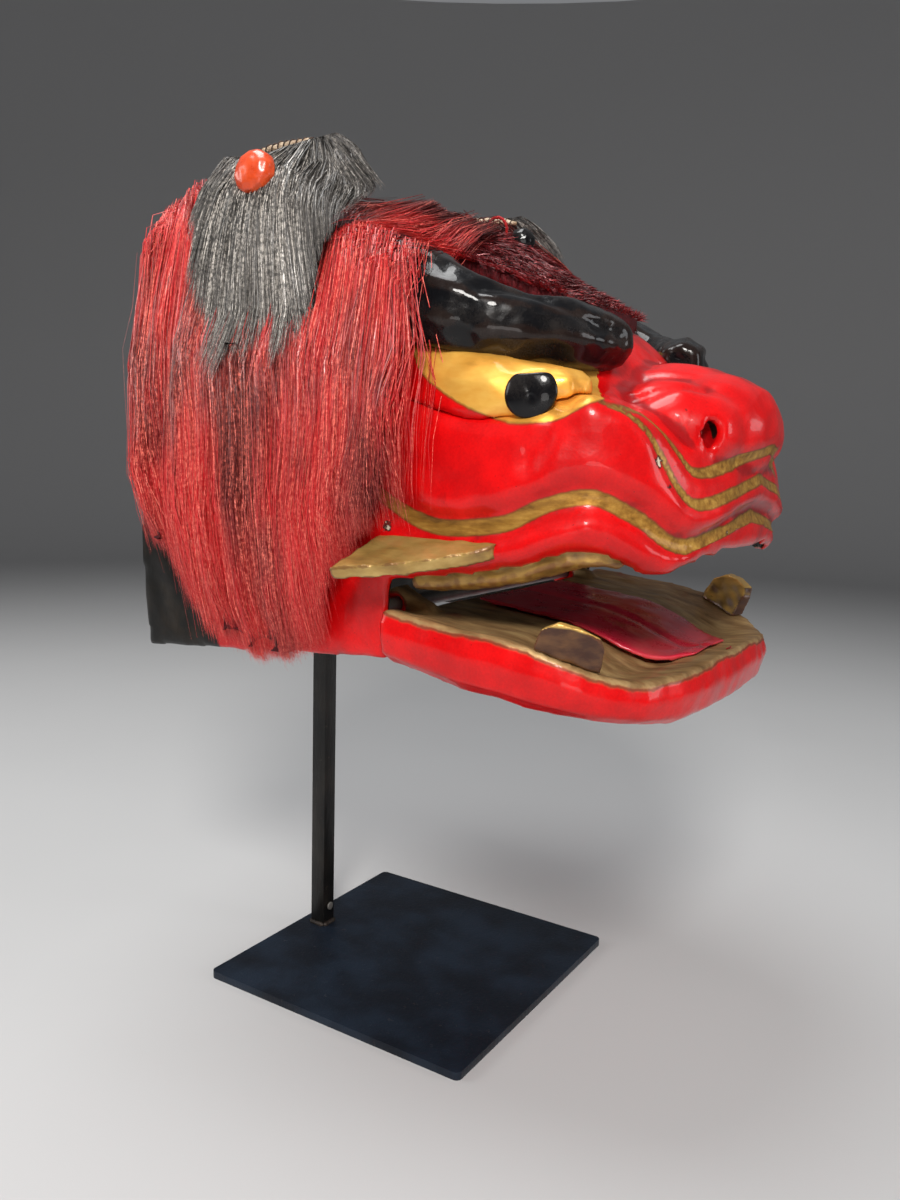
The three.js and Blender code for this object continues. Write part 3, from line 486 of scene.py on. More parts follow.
# Painted lines round the lips: place along the plan outline, height and half width, in millimetres
PLAN = ((0, -220), (50, -219), (80, -211), (104, -198), (120, -180), (133, -134), (134, -100), (134, -65),
        (134, 125))
LIP_LINES = (
    ((262, 340, 3.2), (235, 326, 3.6), (213, 322, 3.8), (181, 326, 3.8), (158, 336, 3.4), (136, 340, 3.4),
     (112, 330.5, 3.2), (94, 320, 3.2), (78, 317.4, 3.4), (44, 323, 3.6), (0, 330, 3.6)),
    ((136, 386, 0.8), (122, 381, 1.3), (110, 371.5, 1.7), (101, 359, 2.0), (94, 348, 2.2), (83, 339, 2.6),
     (70, 338, 3.0), (48, 342, 3.0), (0, 350, 2.8)),
    ((131, 386, 0.6), (115, 382.5, 1.0), (99, 375.5, 1.4), (89, 363, 1.7), (79, 354.3, 2.2), (65, 353.5, 2.7),
     (38, 358, 3.0), (0, 366, 2.8)),
)
EYE_LOWER = ((250, 426), (244, 418), (239, 408.5), (229, 396.6), (210, 384.8), (191, 377), (175, 373.7),
             (159, 376), (145, 381.5), (131, 390), (122, 399))
EYE_FRONT, EYE_REAR = 121, 250
UNPAINTED = 30.0
NOSE_CREASE = ((70, -166, 388), (62, -179, 393.5), (52, -192, 396.5), (44, -201, 396))
CHEEK_VALLEY = ((132, -145, 356), (131.5, -147, 361), (130, -154, 369), (127, -157, 378), (121, -160, 388))
CHIPS = ((-100.6, -199.8, 357.8, 2.3), (-96.5, -203.5, 346.2, 1.1), (51, -214, 355, 3), (-133, -66, 321, 2.6),
         (-131, -20, 238, 3), (120, -182, 330, 2), (-40, -219, 322, 1.5), (133, 40, 300, 2.5))
BLACK_FROM = 62.0


def curved(path, parts=7):
    rows = np.array(path, float)
    padded = np.vstack([2 * rows[0] - rows[1], rows, 2 * rows[-1] - rows[-2]])
    made = []
    for a, b, c, d in zip(padded[:-3], padded[1:-2], padded[2:-1], padded[3:]):
        for t in np.arange(parts) / parts:
            made.append(0.5 * (2 * b + (c - a) * t + (2 * a - 5 * b + 4 * c - d) * t ** 2
                               + (3 * b - a - 3 * c + d) * t ** 3))
    made.append(rows[-1])
    return made


def eye_margin(spots):
    """How far a place lies below the eye's almond edge, in millimetres."""
    chart = plan_place(spots[:, 0], spots[:, 1])
    edge = np.array(curved(EYE_LOWER))[::-1]
    below = np.interp(chart, edge[:, 0], edge[:, 1]) - spots[:, 2]
    return np.where((chart < EYE_FRONT) | (chart > EYE_REAR), UNPAINTED, below)


def plan_place(x, y):
    best = np.full(len(x), 1e9)
    place = np.zeros(len(x))
    run = 0.0
    for (ax, ay), (bx, by) in zip(PLAN[:-1], PLAN[1:]):
        size = math.hypot(bx - ax, by - ay)
        along = np.clip(((np.abs(x) - ax) * (bx - ax) + (y - ay) * (by - ay)) / size ** 2, 0, 1)
        gap = np.hypot(np.abs(x) - ax - along * (bx - ax), y - ay - along * (by - ay))
        near = gap < best
        best = np.where(near, gap, best)
        place = np.where(near, run + along * size, place)
        run += size
    return place


def hump(gap, width):
    return np.exp(-(gap / width) ** 2)


# Relief of the head in millimetres: depth and width of each groove, and the roll above the long lip line
LINE_GROOVES = ((2.6, 3.6), (1.3, 2.6), (1.1, 2.4))
LIP_ROLL_GAP, LIP_ROLL_RISE, LIP_ROLL_WIDTH = 11, 1.6, 6.0
NOSE_CREASE_DEPTH, NOSE_CREASE_WIDTH = 3.2, 4.5
CHEEK_VALLEY_DEPTH, CHEEK_VALLEY_WIDTH = 3.0, 6.5
HEAD_FRONT, HEAD_REAR, HEAD_MIDDLE = -120, 125, 350.0
SKIN_START, SKIN_FADE, SKIN_PAINTED = 0.1, 0.3, 0.6
BLACK_SLOPE, BLACK_SET = 60, 6
EYE_TOP = 428


def carve_head():
    head = carved("head_shell", "head_carving", 3.0, 13, swell=0.32, length=22.0, seed=3)
    spots = points(head) / MM
    ways = directions(head)
    depth = np.clip(spots[:, 1], HEAD_FRONT, HEAD_REAR)
    centre = np.stack([np.zeros(len(spots)), depth, np.full(len(spots), HEAD_MIDDLE)], 1)
    outward = ((spots - centre) * ways).sum(1) / np.linalg.norm(spots - centre, axis=1)
    outer = np.clip((outward + SKIN_START) / SKIN_FADE, 0, 1)
    chart = np.stack([plan_place(*spots.T[:2]), spots[:, 2]], 1)
    lines = [path_gap(chart, curved(line)) for line in LIP_LINES]
    folded = mirrored(spots)
    sink = sum(deep * hump(np.maximum(line, 0), wide) for line, (deep, wide) in zip(lines, LINE_GROOVES))
    sink -= LIP_ROLL_RISE * hump(lines[0] - LIP_ROLL_GAP, LIP_ROLL_WIDTH)
    sink += NOSE_CREASE_DEPTH * hump(path_gap(folded, curved(NOSE_CREASE)), NOSE_CREASE_WIDTH)
    sink += CHEEK_VALLEY_DEPTH * hump(path_gap(folded, curved(CHEEK_VALLEY)), CHEEK_VALLEY_WIDTH)
    move_to(head, (spots - ways * (sink * outer)[:, None]) * MM)
    paint = np.minimum(np.minimum(lines[0], lines[1]), lines[2])
    note(head, "gold_line", np.where(outer > SKIN_PAINTED, paint, UNPAINTED))
    chip = np.full(len(spots), UNPAINTED)
    for x, y, z, reach in CHIPS:
        chip = np.minimum(chip, np.linalg.norm(spots - np.array([x, y, z]), axis=1) - reach)
    note(head, "chip", chip)
    margin = np.where((outer > SKIN_PAINTED) & (spots[:, 2] < EYE_TOP), eye_margin(spots), UNPAINTED)
    note(head, "eye_part", margin)
    inside = (SKIN_START - outward) * BLACK_SLOPE - BLACK_SET
    note(head, "black_part", np.maximum(spots[:, 1] - BLACK_FROM, inside))
    return head


# Lacquers and paints: colours from dark to light, and lacquer depths in metres
RED_CREASE_REACH = 0.55
RED_RELIEF = 0.0011
EYE_RAMP = ((0.30, (0.50, 0.22, 0.035)), (0.46, (0.86, 0.41, 0.062)), (0.66, (0.95, 0.56, 0.115)))


def lacquered_red(name):
    finish = Finish(name, {"Coat Weight": 0.4, "Coat Roughness": 0.06, "Coat IOR": 1.4,
                           "Specular IOR Level": 0.22})
    tooled = finish.group(TOOLING, Facet=95.0, Grain=700.0)
    edges_and_creases = finish.group(WEAR_AND_CREASES, Cavity=finish.mark("cavity"), Reach=RED_CREASE_REACH)
    tone = finish.span(tooled["Tone"], 0.3, 0.72)
    red = finish.blend((0.50, 0.0008, 0.002), (0.76, 0.0030, 0.004), tone)
    # Darker red in the hollows
    red = finish.blend(red, (0.22, 0.0015, 0.003), finish.times(edges_and_creases["Crease"], 0.75))
    specks = finish.span(finish.noise(420.0, 2), 0.735, 0.76)
    red = finish.blend(red, (0.05, 0.004, 0.004), finish.times(specks, 0.6))
    rough = finish.plus(0.26, finish.times(finish.noise(60.0, 4), 0.2))
    return finish, red, rough, tooled["Height"]


def eye_paint(finish, red):
    """Gold above the eye's lower edge, the given red below it, and a thin brown line between."""
    edge = finish.plus(finish.mark("eye_part"), finish.wobble(2.0, 130.0, 3))
    share = finish.span(edge, 0.4, -0.4)
    streaks = finish.group(STREAKS, Length=34.0, Fineness=110.0)
    mixed = finish.plus(finish.times(streaks["Streak"], 0.6), finish.times(streaks["Patch"], 0.4))
    gold = finish.ramp(mixed, EYE_RAMP)
    colour = finish.blend(red, gold, share)
    rim = finish.times(finish.span(finish.reckon("ABSOLUTE", edge), 1.3, 0.2), 0.55)
    return finish.blend(colour, (0.10, 0.04, 0.012), rim), share


def finish_eye():
    finish, red, rough, height = lacquered_red("eye_paint")
    colour, share = eye_paint(finish, red)
    edges_and_creases = finish.group(WEAR_AND_CREASES, Cavity=finish.mark("cavity"), Reach=RED_CREASE_REACH)
    # Darker brown in the hollows of the eye field
    crease_darkening = finish.times(edges_and_creases["Crease"], 0.6)
    finish.feed("Base Color", finish.blend(colour, (0.10, 0.045, 0.012), crease_darkening))
    finish.feed("Roughness", finish.plus(rough, finish.times(share, 0.1)))
    finish.feed("Metallic", finish.times(share, 0.42))
    finish.emboss(height, 0.0008)
    return finish


def finish_head_red():
    finish, red, rough, height = lacquered_red("head_lacquer")
    wobble = finish.wobble(1.2, 150.0, 3)
    streaks = finish.group(STREAKS, Length=60.0, Fineness=300.0)
    edge = finish.plus(finish.mark("gold_line"), wobble)
    gold_share = finish.span(edge, 0.5, -0.4)
    gold = finish.ramp(streaks["Streak"], ((0.25, (0.17, 0.075, 0.012)), (0.5, (0.40, 0.20, 0.035)),
                                           (0.75, (0.60, 0.35, 0.075))))
    red = finish.blend(red, gold, gold_share)
    dirt = finish.times(finish.span(finish.reckon("ABSOLUTE", edge), 0.9, 0.1), 0.45)
    red = finish.blend(red, (0.06, 0.012, 0.006), dirt)
    red, eye_share = eye_paint(finish, red)
    gold_share = finish.reckon("MAXIMUM", gold_share, eye_share)
    black_edge = finish.plus(finish.mark("black_part"), finish.times(wobble, 2.0))
    black_share = finish.span(black_edge, -1.5, 1.5)
    soot = finish.span(finish.noise(45.0, 5), 0.45, 0.8)
    black = finish.blend((0.003, 0.0026, 0.002), (0.020, 0.013, 0.007), soot)
    red = finish.blend(red, black, black_share)
    chipped = finish.plus(finish.mark("chip"), finish.wobble(5.0, 400.0, 3))
    rim = finish.span(chipped, 0.9, 0.2)
    bare = finish.span(chipped, 0.0, -0.5)
    red = finish.blend(red, (0.04, 0.012, 0.008), rim)
    red = finish.blend(red, (0.62, 0.52, 0.40), bare)
    finish.feed("Base Color", red)
    rough = finish.plus(rough, finish.times(gold_share, 0.14))
    rough = finish.plus(rough, finish.times(bare, 0.5))
    finish.feed("Roughness", finish.plus(rough, finish.times(black_share, 0.08)))
    finish.feed("Metallic", finish.times(gold_share, 0.55))
    coat = finish.minus(0.45, finish.times(gold_share, 0.2))
    coat = finish.minus(coat, finish.times(black_share, 0.3))
    finish.feed("Coat Weight", finish.minus(coat, finish.times(bare, 0.5), clamp=True))
    height = finish.minus(height, finish.times(rim, 0.35))
    finish.emboss(height, RED_RELIEF)
    return finish


def finish_jaw_red():
    finish, red, rough, height = lacquered_red("jaw_lacquer")
    wobble = finish.wobble(0.25, 120.0, 3)
    share = finish.span(finish.plus(finish.mark("floor_part"), wobble), 0.38, 0.62)
    streaks = finish.group(STREAKS, Length=30.0, Fineness=120.0)
    floor = finish.ramp(streaks["Streak"], ((0.25, (0.14, 0.075, 0.028)), (0.48, (0.34, 0.20, 0.085)),
                                            (0.75, (0.56, 0.38, 0.17))))
    rubbed = finish.times(finish.span(streaks["Patch"], 0.6, 0.8), 0.5)
    floor = finish.blend(floor, (0.30, 0.03, 0.015), rubbed)
    seam = finish.span(finish.reckon("ABSOLUTE", finish.minus(share, 0.5)), 0.45, 0.1)
    colour = finish.blend(red, floor, share)
    finish.feed("Base Color", finish.blend(colour, (0.10, 0.02, 0.008), finish.times(seam, 0.6)))
    finish.feed("Roughness", finish.plus(rough, finish.times(share, 0.16)))
    finish.feed("Metallic", finish.times(share, 0.35))
    finish.feed("Coat Weight", finish.minus(0.4, finish.times(share, 0.25)))
    finish.emboss(height, RED_RELIEF)
    return finish


def finish_black():
    finish = Finish("black_lacquer", {"Coat Weight": 0.45, "Coat Roughness": 0.035, "Coat IOR": 1.45,
                                      "Specular IOR Level": 0.1})
    tooled = finish.group(TOOLING, Facet=150.0, Grain=900.0)
    edges_and_creases = finish.group(WEAR_AND_CREASES, Cavity=finish.mark("cavity"), Reach=0.35)
    tone = finish.span(tooled["Tone"], 0.4, 0.75)
    black = finish.blend((0.004, 0.004, 0.005), (0.020, 0.017, 0.016), tone)
    black = finish.blend(black, (0.05, 0.022, 0.012), finish.times(edges_and_creases["Edge"], 0.18))
    finish.feed("Base Color", black)
    finish.feed("Roughness", finish.plus(0.18, finish.times(tooled["Tone"], 0.16)))
    finish.emboss(tooled["Height"], 0.0009)
    return finish


def finish_gold(name, dark, middle, light, metal, depth=0.0007, fineness=110.0, lit_crest=False):
    finish = Finish(name, {"Coat Weight": 0.3, "Coat Roughness": 0.15})
    tooled = finish.group(TOOLING, Facet=120.0, Grain=800.0)
    edges_and_creases = finish.group(WEAR_AND_CREASES, Cavity=finish.mark("cavity"), Reach=0.35)
    streaks = finish.group(STREAKS, Length=34.0, Fineness=fineness)
    mixed = finish.plus(finish.times(streaks["Streak"], 0.6), finish.times(streaks["Patch"], 0.4))
    gold = finish.ramp(mixed, ((0.32, dark), (0.5, middle), (0.66, light)))
    # Darker in the hollows
    gold = finish.blend(gold, (0.07, 0.03, 0.01), finish.times(edges_and_creases["Crease"], 0.7))
    gold = finish.blend(gold, (0.16, 0.05, 0.015), finish.times(edges_and_creases["Edge"], 0.6))
    # Painted highlight: bright gold along the top edge, as if lit from above
    if lit_crest:
        ragged = finish.plus(finish.mark("lit_crest"), finish.times(streaks["Streak"], 3.0))
        gold = finish.blend(gold, (0.80, 0.50, 0.13), finish.span(ragged, 9.0, 5.0))
    finish.feed("Base Color", gold)
    finish.feed("Metallic", finish.span(streaks["Patch"], 0.2, 0.8, metal * 0.7, metal))
    finish.feed("Roughness", finish.span(streaks["Streak"], 0.25, 0.8, 0.46, 0.26))
    finish.emboss(tooled["Height"], depth)
    return finish


def finish_tongue():
    finish = Finish("tongue_paint", {"Coat Weight": 0.5, "Coat Roughness": 0.12})
    tooled = finish.group(TOOLING, Facet=110.0, Grain=700.0)
    pink = finish.ramp(tooled["Tone"], ((0.25, (0.50, 0.010, 0.030)), (0.5, (0.64, 0.020, 0.050)),
                                        (0.78, (0.74, 0.085, 0.10))))
    dark = finish.times(finish.span(finish.noise(30.0, 3), 0.55, 0.8), 0.5)
    finish.feed("Base Color", finish.blend(pink, (0.30, 0.006, 0.02), dark))
    finish.feed("Roughness", finish.span(tooled["Tone"], 0.3, 0.7, 0.22, 0.4))
    finish.emboss(tooled["Height"], 0.0009)
    return finish


# Hair, hide and cord finishes
ROOT_SHADE = 0.35


def finish_hair(name, deep, middle, lit, rough=0.42):
    finish = Finish(name, {"Specular IOR Level": 0.45})
    tuned = finish.group(STRANDS, Tone=finish.mark("tone"), Along=finish.mark("along"))
    base = finish.blend(deep, middle, tuned["Depth"])
    # Painted highlights: the lit colour
    base = finish.blend(base, lit, tuned["Light"])
    # Painted shade: darker towards the roots
    roots = finish.times(finish.span(finish.mark("along"), 0.22, 0.0), 0.55)
    finish.feed("Base Color", finish.blend(base, [c * ROOT_SHADE for c in deep], roots))
    finish.feed("Roughness", finish.span(tuned["Light"], 0.0, 1.0, rough + 0.08, rough - 0.1))
    return finish


# Matted hair under the strands, far darker than them: painted shade deep in the hair
def finish_shaded_underhair(name, deep, middle):
    finish = Finish(name, {"Specular IOR Level": 0.3})
    fibres = finish.noise(1.0, 4, vector=finish.stretched((900, 900, 30)), rough=0.7)
    locks = finish.noise(16.0, 3, vector=finish.stretched((1, 1, 0.35)))
    shade = finish.plus(finish.times(fibres, 0.6), finish.times(locks, 0.4))
    finish.feed("Base Color", finish.blend(deep, middle, finish.span(shade, 0.35, 0.75)))
    finish.feed("Roughness", finish.span(fibres, 0.2, 0.8, 0.7, 0.5))
    finish.emboss(fibres, 0.0012)
    return finish


def finish_hide():
    finish = Finish("pale_hide", {"Specular IOR Level": 0.35})
    pores = finish.cells(1100.0)
    stain = finish.noise(90.0, 5)
    colour = finish.ramp(stain, ((0.3, (0.30, 0.19, 0.11)), (0.5, (0.58, 0.46, 0.33)),
                                 (0.75, (0.72, 0.62, 0.48))))
    pitted = finish.span(pores, 0.25, 0.05, 0.0, 0.5)
    finish.feed("Base Color", finish.blend(colour, (0.22, 0.13, 0.08), pitted))
    finish.feed("Roughness", finish.span(stain, 0.3, 0.7, 0.5, 0.75))
    finish.emboss(finish.plus(pores, finish.times(stain, 2.0)), 0.0005)
    return finish


def finish_tack():
    finish = Finish("orange_enamel", {"Coat Weight": 0.35, "Coat Roughness": 0.18})
    tooled = finish.group(TOOLING, Facet=240.0, Grain=1500.0)
    edges_and_creases = finish.group(WEAR_AND_CREASES, Cavity=finish.mark("cavity"), Reach=0.3)
    colour = finish.ramp(tooled["Tone"], ((0.25, (0.52, 0.040, 0.008)), (0.55, (0.68, 0.070, 0.012)),
                                          (0.85, (0.76, 0.12, 0.022))))
    # Darker in the hollows
    colour = finish.blend(colour, (0.30, 0.05, 0.015), finish.times(edges_and_creases["Crease"], 0.6))
    finish.feed("Base Color", colour)
    finish.feed("Roughness", finish.span(tooled["Tone"], 0.3, 0.7, 0.25, 0.42))
    finish.emboss(tooled["Height"], 0.0004)
    return finish


def finish_thread(name, dark, light):
    finish = Finish(name, {"Specular IOR Level": 0.3})
    twist = finish.noise(1.0, 2, vector=finish.stretched((2200, 2200, 900)))
    finish.feed("Base Color", finish.blend(dark, light, finish.span(twist, 0.35, 0.65)))
    finish.feed("Roughness", finish.span(twist, 0.3, 0.7, 0.8, 0.6))
    finish.emboss(twist, 0.0004)
    return finish


def finish_steel(name, dark, light, rough, rust=0.0):
    finish = Finish(name, {"Metallic": 0.35, "Specular IOR Level": 0.4})
    mill = finish.noise(24.0, 5)
    fine = finish.noise(1.0, 4, vector=finish.stretched((420, 420, 90)))
    colour = finish.blend(dark, light, finish.span(mill, 0.35, 0.7))
    marks = finish.span(finish.noise(160.0, 6, rough=0.75), 0.63, 0.72)
    colour = finish.blend(colour, (0.12, 0.055, 0.028), finish.times(marks, rust))
    dust = finish.span(finish.noise(900.0, 2), 0.70, 0.76)
    finish.feed("Base Color", finish.blend(colour, (0.12, 0.13, 0.14), finish.times(dust, 0.35)))
    finish.feed("Roughness", finish.plus(rough, finish.times(finish.plus(fine, marks), 0.16)))
    finish.emboss(finish.plus(fine, finish.times(marks, 0.8)), 0.0003)
    return finish


# Long hair as fine tapered ribbons
THINNEST = 0.12


def tapered(thick, t, end, length):
    """Widths along the strands, which narrow over the last part of each."""
    return thick[:, None] * MM * np.clip((end - t) / length, THINNEST, 1)


def ribbons(name, spots, outward, widths, tone, twist):
    count, stations = spots.shape[:2]
    run = np.gradient(spots, axis=1)
    run /= np.maximum(np.linalg.norm(run, axis=2, keepdims=True), 1e-9)
    side = np.cross(run, outward)
    side /= np.maximum(np.linalg.norm(side, axis=2, keepdims=True), 1e-9)
    lean = np.cross(side, run)
    across = side * np.cos(twist)[:, None, None] + lean * np.sin(twist)[:, None, None]
    half = across * (widths[:, :, None] * 0.5)
    corners = np.stack([spots - half, spots + half], 2).reshape(-1, 3)
    first = (np.arange(count)[:, None] * stations + np.arange(stations - 1)[None, :]).ravel() * 2
    loops = np.stack([first, first + 1, first + 3, first + 2], 1).astype(np.int32)
    mesh = bpy.data.meshes.new(name)
    mesh.vertices.add(len(corners))
    mesh.vertices.foreach_set("co", corners.ravel())
    mesh.loops.add(loops.size)
    mesh.loops.foreach_set("vertex_index", loops.ravel())
    mesh.polygons.add(len(loops))
    mesh.polygons.foreach_set("loop_start", np.arange(len(loops), dtype=np.int32) * 4)
    mesh.polygons.foreach_set("loop_total", np.full(len(loops), 4, dtype=np.int32))
    mesh.update(calc_edges=True)
    mesh.validate()
    piece = added(name, mesh)
    select_only(piece)
    bpy.ops.object.shade_smooth()
    along = np.broadcast_to(np.linspace(0, 1, stations)[None, :, None], (count, stations, 2))
    note(piece, "along", along.ravel())
    note(piece, "tone", np.broadcast_to(tone[:, None, None], (count, stations, 2)).ravel())
    return piece


def underhair(node, name, voxel, rounds, inset):
    """The matted hair below the strands, and where its skin lies when it is drawn in."""
    under = carved(node, name, voxel, rounds, swell=0)
    return under, points(under) - directions(under) * inset


def tree_of(node):
    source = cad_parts[node]
    mesh = source.data
    spots = [source.matrix_world @ v.co for v in mesh.vertices]
    return BVHTree.FromPolygons(spots, [tuple(p.vertices) for p in mesh.polygons])


def filled(row):
    known = np.flatnonzero(~np.isnan(row))
    return np.interp(np.arange(len(row)), known, row[known])


def filled_grid(grid):
    for row in range(grid.shape[0]):
        if not np.isnan(grid[row]).all():
            grid[row] = filled(grid[row])
    for column in range(grid.shape[1]):
        grid[:, column] = filled(grid[:, column])
    return grid


def softened(values, rounds):
    values = values.copy()
    for _ in range(rounds):
        values[1:-1] = (values[:-2] + 2 * values[1:-1] + values[2:]) / 4
    return values


def place_between(values, marks):
    """The mark before each value, and the share of the way from it to the next one."""
    place = np.clip((values - marks[0]) / (marks[1] - marks[0]), 0, len(marks) - 1.001)
    return place.astype(int), place - place.astype(int)


def read_grid(grid, rows, columns, at_row, at_column):
    r, u = place_between(at_row, rows)
    c, v = place_between(at_column, columns)
    return ((grid[r, c] * (1 - u) + grid[r + 1, c] * u) * (1 - v)
            + (grid[r, c + 1] * (1 - u) + grid[r + 1, c + 1] * u) * v)


def surface_grid(node, rows, columns, ray):
    """What a ray of the piece's own finds for each row and column, or no number where it misses."""
    tree = tree_of(node)
    grid = np.full((len(rows), len(columns)), np.nan)
    for r, row in enumerate(rows):
        for c, column in enumerate(columns):
            start, way, reach, measure = ray(row, column)
            spot, _, _, _ = tree.ray_cast(start, way, reach)
            if spot is not None:
                grid[r, c] = measure(spot)
    return grid


# Mane: its strands are laid by angle round the head's long axis, from the crown down, and by place along it.
# Heights and depths are in metres, angles in radians.
AXIS_HEIGHT = 0.370
RAY_OUT, RAY_REACH = 0.5, 0.45
FRONT_COVER = ((0.0, 0.3, 0.6, 0.89, 0.98, 1.06, 1.13, 1.24, 1.40, 1.54, 1.67, 1.77, 1.9),
               (-42, -48, -56, -63, -67, -67, -66, -66, -67, -70, -68, -66, -62))
MANE_ANGLES = np.radians(np.linspace(1.5, 138, 92))
MANE_DEPTHS = np.linspace(-0.096, 0.124, 74)
FRONT_TURN, REAR_TURN = 1.83, 1.74
ALWAYS_HAIR = 1.3
OVER_FRONT = 0.05
OVER_BROW, OVER_CROWN, OVER_SHELL = 0.0075, 0.003, 0.009


class ManeChart:
    """How far the mane stands from the head's long axis."""

    def __init__(self, side_name, side):
        grid = self.cast("mane_" + side_name, side)
        known = ~np.isnan(grid)
        depths = np.broadcast_to(MANE_DEPTHS, grid.shape)
        low = np.where(known, depths, np.inf).min(1)
        high = np.where(known, depths, -np.inf).max(1)
        cover = np.interp(MANE_ANGLES, FRONT_COVER[0], FRONT_COVER[1]) * MM
        self.front = softened(cover, 2)
        self.rear = softened(filled(np.where(np.isinf(high), np.nan, high)), 3)
        below = ~known | ((depths > low[:, None]) & (depths < low[:, None] + OVER_FRONT))
        covered = {"brow_" + side_name: OVER_BROW, "crown_hair": OVER_CROWN, "head_shell": OVER_SHELL}
        for node, rise in covered.items():
            grid = np.where(below, np.fmax(grid, self.cast(node, side) + rise), grid)
        filled_grid(grid.T)
        for _ in range(3):
            grid = softened(softened(grid, 1).T, 1).T
        self.grid = grid
        self.known = known

    def cast(self, node, side):
        def ray(angle, depth):
            way = Vector((side * math.sin(angle), 0, math.cos(angle)))
            centre = Vector((0, depth, AXIS_HEIGHT))
            return centre + way * RAY_OUT, -way, RAY_REACH, lambda spot: (spot - centre).length
        return surface_grid(node, MANE_ANGLES, MANE_DEPTHS, ray)

    def lane(self, share, angle):
        front = np.interp(np.minimum(angle, FRONT_TURN), MANE_ANGLES, self.front)
        rear = np.interp(np.minimum(angle, REAR_TURN), MANE_ANGLES, self.rear)
        return front + share * (rear - front)

    def reach(self, angle, depth):
        return read_grid(self.grid, MANE_ANGLES, MANE_DEPTHS, angle, depth)

    def hem(self, share):
        """The angle at which a strand with this share of the width leaves the mane."""
        wide = self.known.copy()
        wide[:, 1:] |= self.known[:, :-1]
        wide[:, :-1] |= self.known[:, 1:]
        ends = np.full(len(share), MANE_ANGLES[0])
        step = MANE_DEPTHS[1] - MANE_DEPTHS[0]
        for row, angle in enumerate(MANE_ANGLES):
            column = np.round((self.lane(share, angle) - MANE_DEPTHS[0]) / step).astype(int)
            column = np.clip(column, 0, len(MANE_DEPTHS) - 1)
            ends = np.where(wide[row, column] | (angle < ALWAYS_HAIR), angle, ends)
        return ends


# Front part of the mane's hem, as depth and height in millimetres, and how far it stands from the middle
MANE_HEM = np.array(((-79, 335), (-68, 324), (-49, 310), (-33, 296), (-28, 279), (-22, 256), (-8, 246),
                     (3, 237)))
HEM_OUT = 143.0
MANE_STRANDS, MANE_STATIONS = 15800, 7
MANE_WIDTHS, MANE_TAPER, MANE_TWIST = (0.28, 0.52), (1.04, 0.3), 0.55
MANE_CLUMPS, MANE_CLUMP_MIX = 80, 0.45
MANE_SHARES, HEM_SHARES = (-0.01, 1.01), (0.012, 0.988)
STRAYS = 0.03
STRAY_FRONT, STRAY_FRONT_SHARES = 0.6, (-0.10, 0.02)
HEM_RAGGED, HEM_LOCKS = 0.026, 0.012
CROWN_ROOTS, CROWN_ROOT_ANGLES, SIDE_ROOT_ANGLES = 0.45, (0.03, 0.2), (0.2, 1.25)
SHORTEST = 0.25
LOCK_PULL = 0.5
STRAND_WAVE, STRAND_DRIFT, STRAY_DRIFT, STRAY_LIFT = 0.0014, 0.0038, 0.006, (0.002, 0.006)
HAIR_THICK, HAIR_SUNK = 4.6, 2.2
STRAND_BOUNCE, TIP_DROP = 0.0009, 0.0030
REAR_FULLNESS, REAR_PLACE, REAR_ANGLE, REAR_WIDTH, REAR_SPREAD = 0.013, 0.085, 0.72, 0.036, 0.34
LOCK_RELIEF, LOCK_LENGTH, LOCK_TURN = 0.0018, 26, 0.022
UNDER_INSET = 0.0060
UNDER_FRONT, UNDER_SQUASH = 0.068, 0.15
UNDER_HEM_LIFT = 9


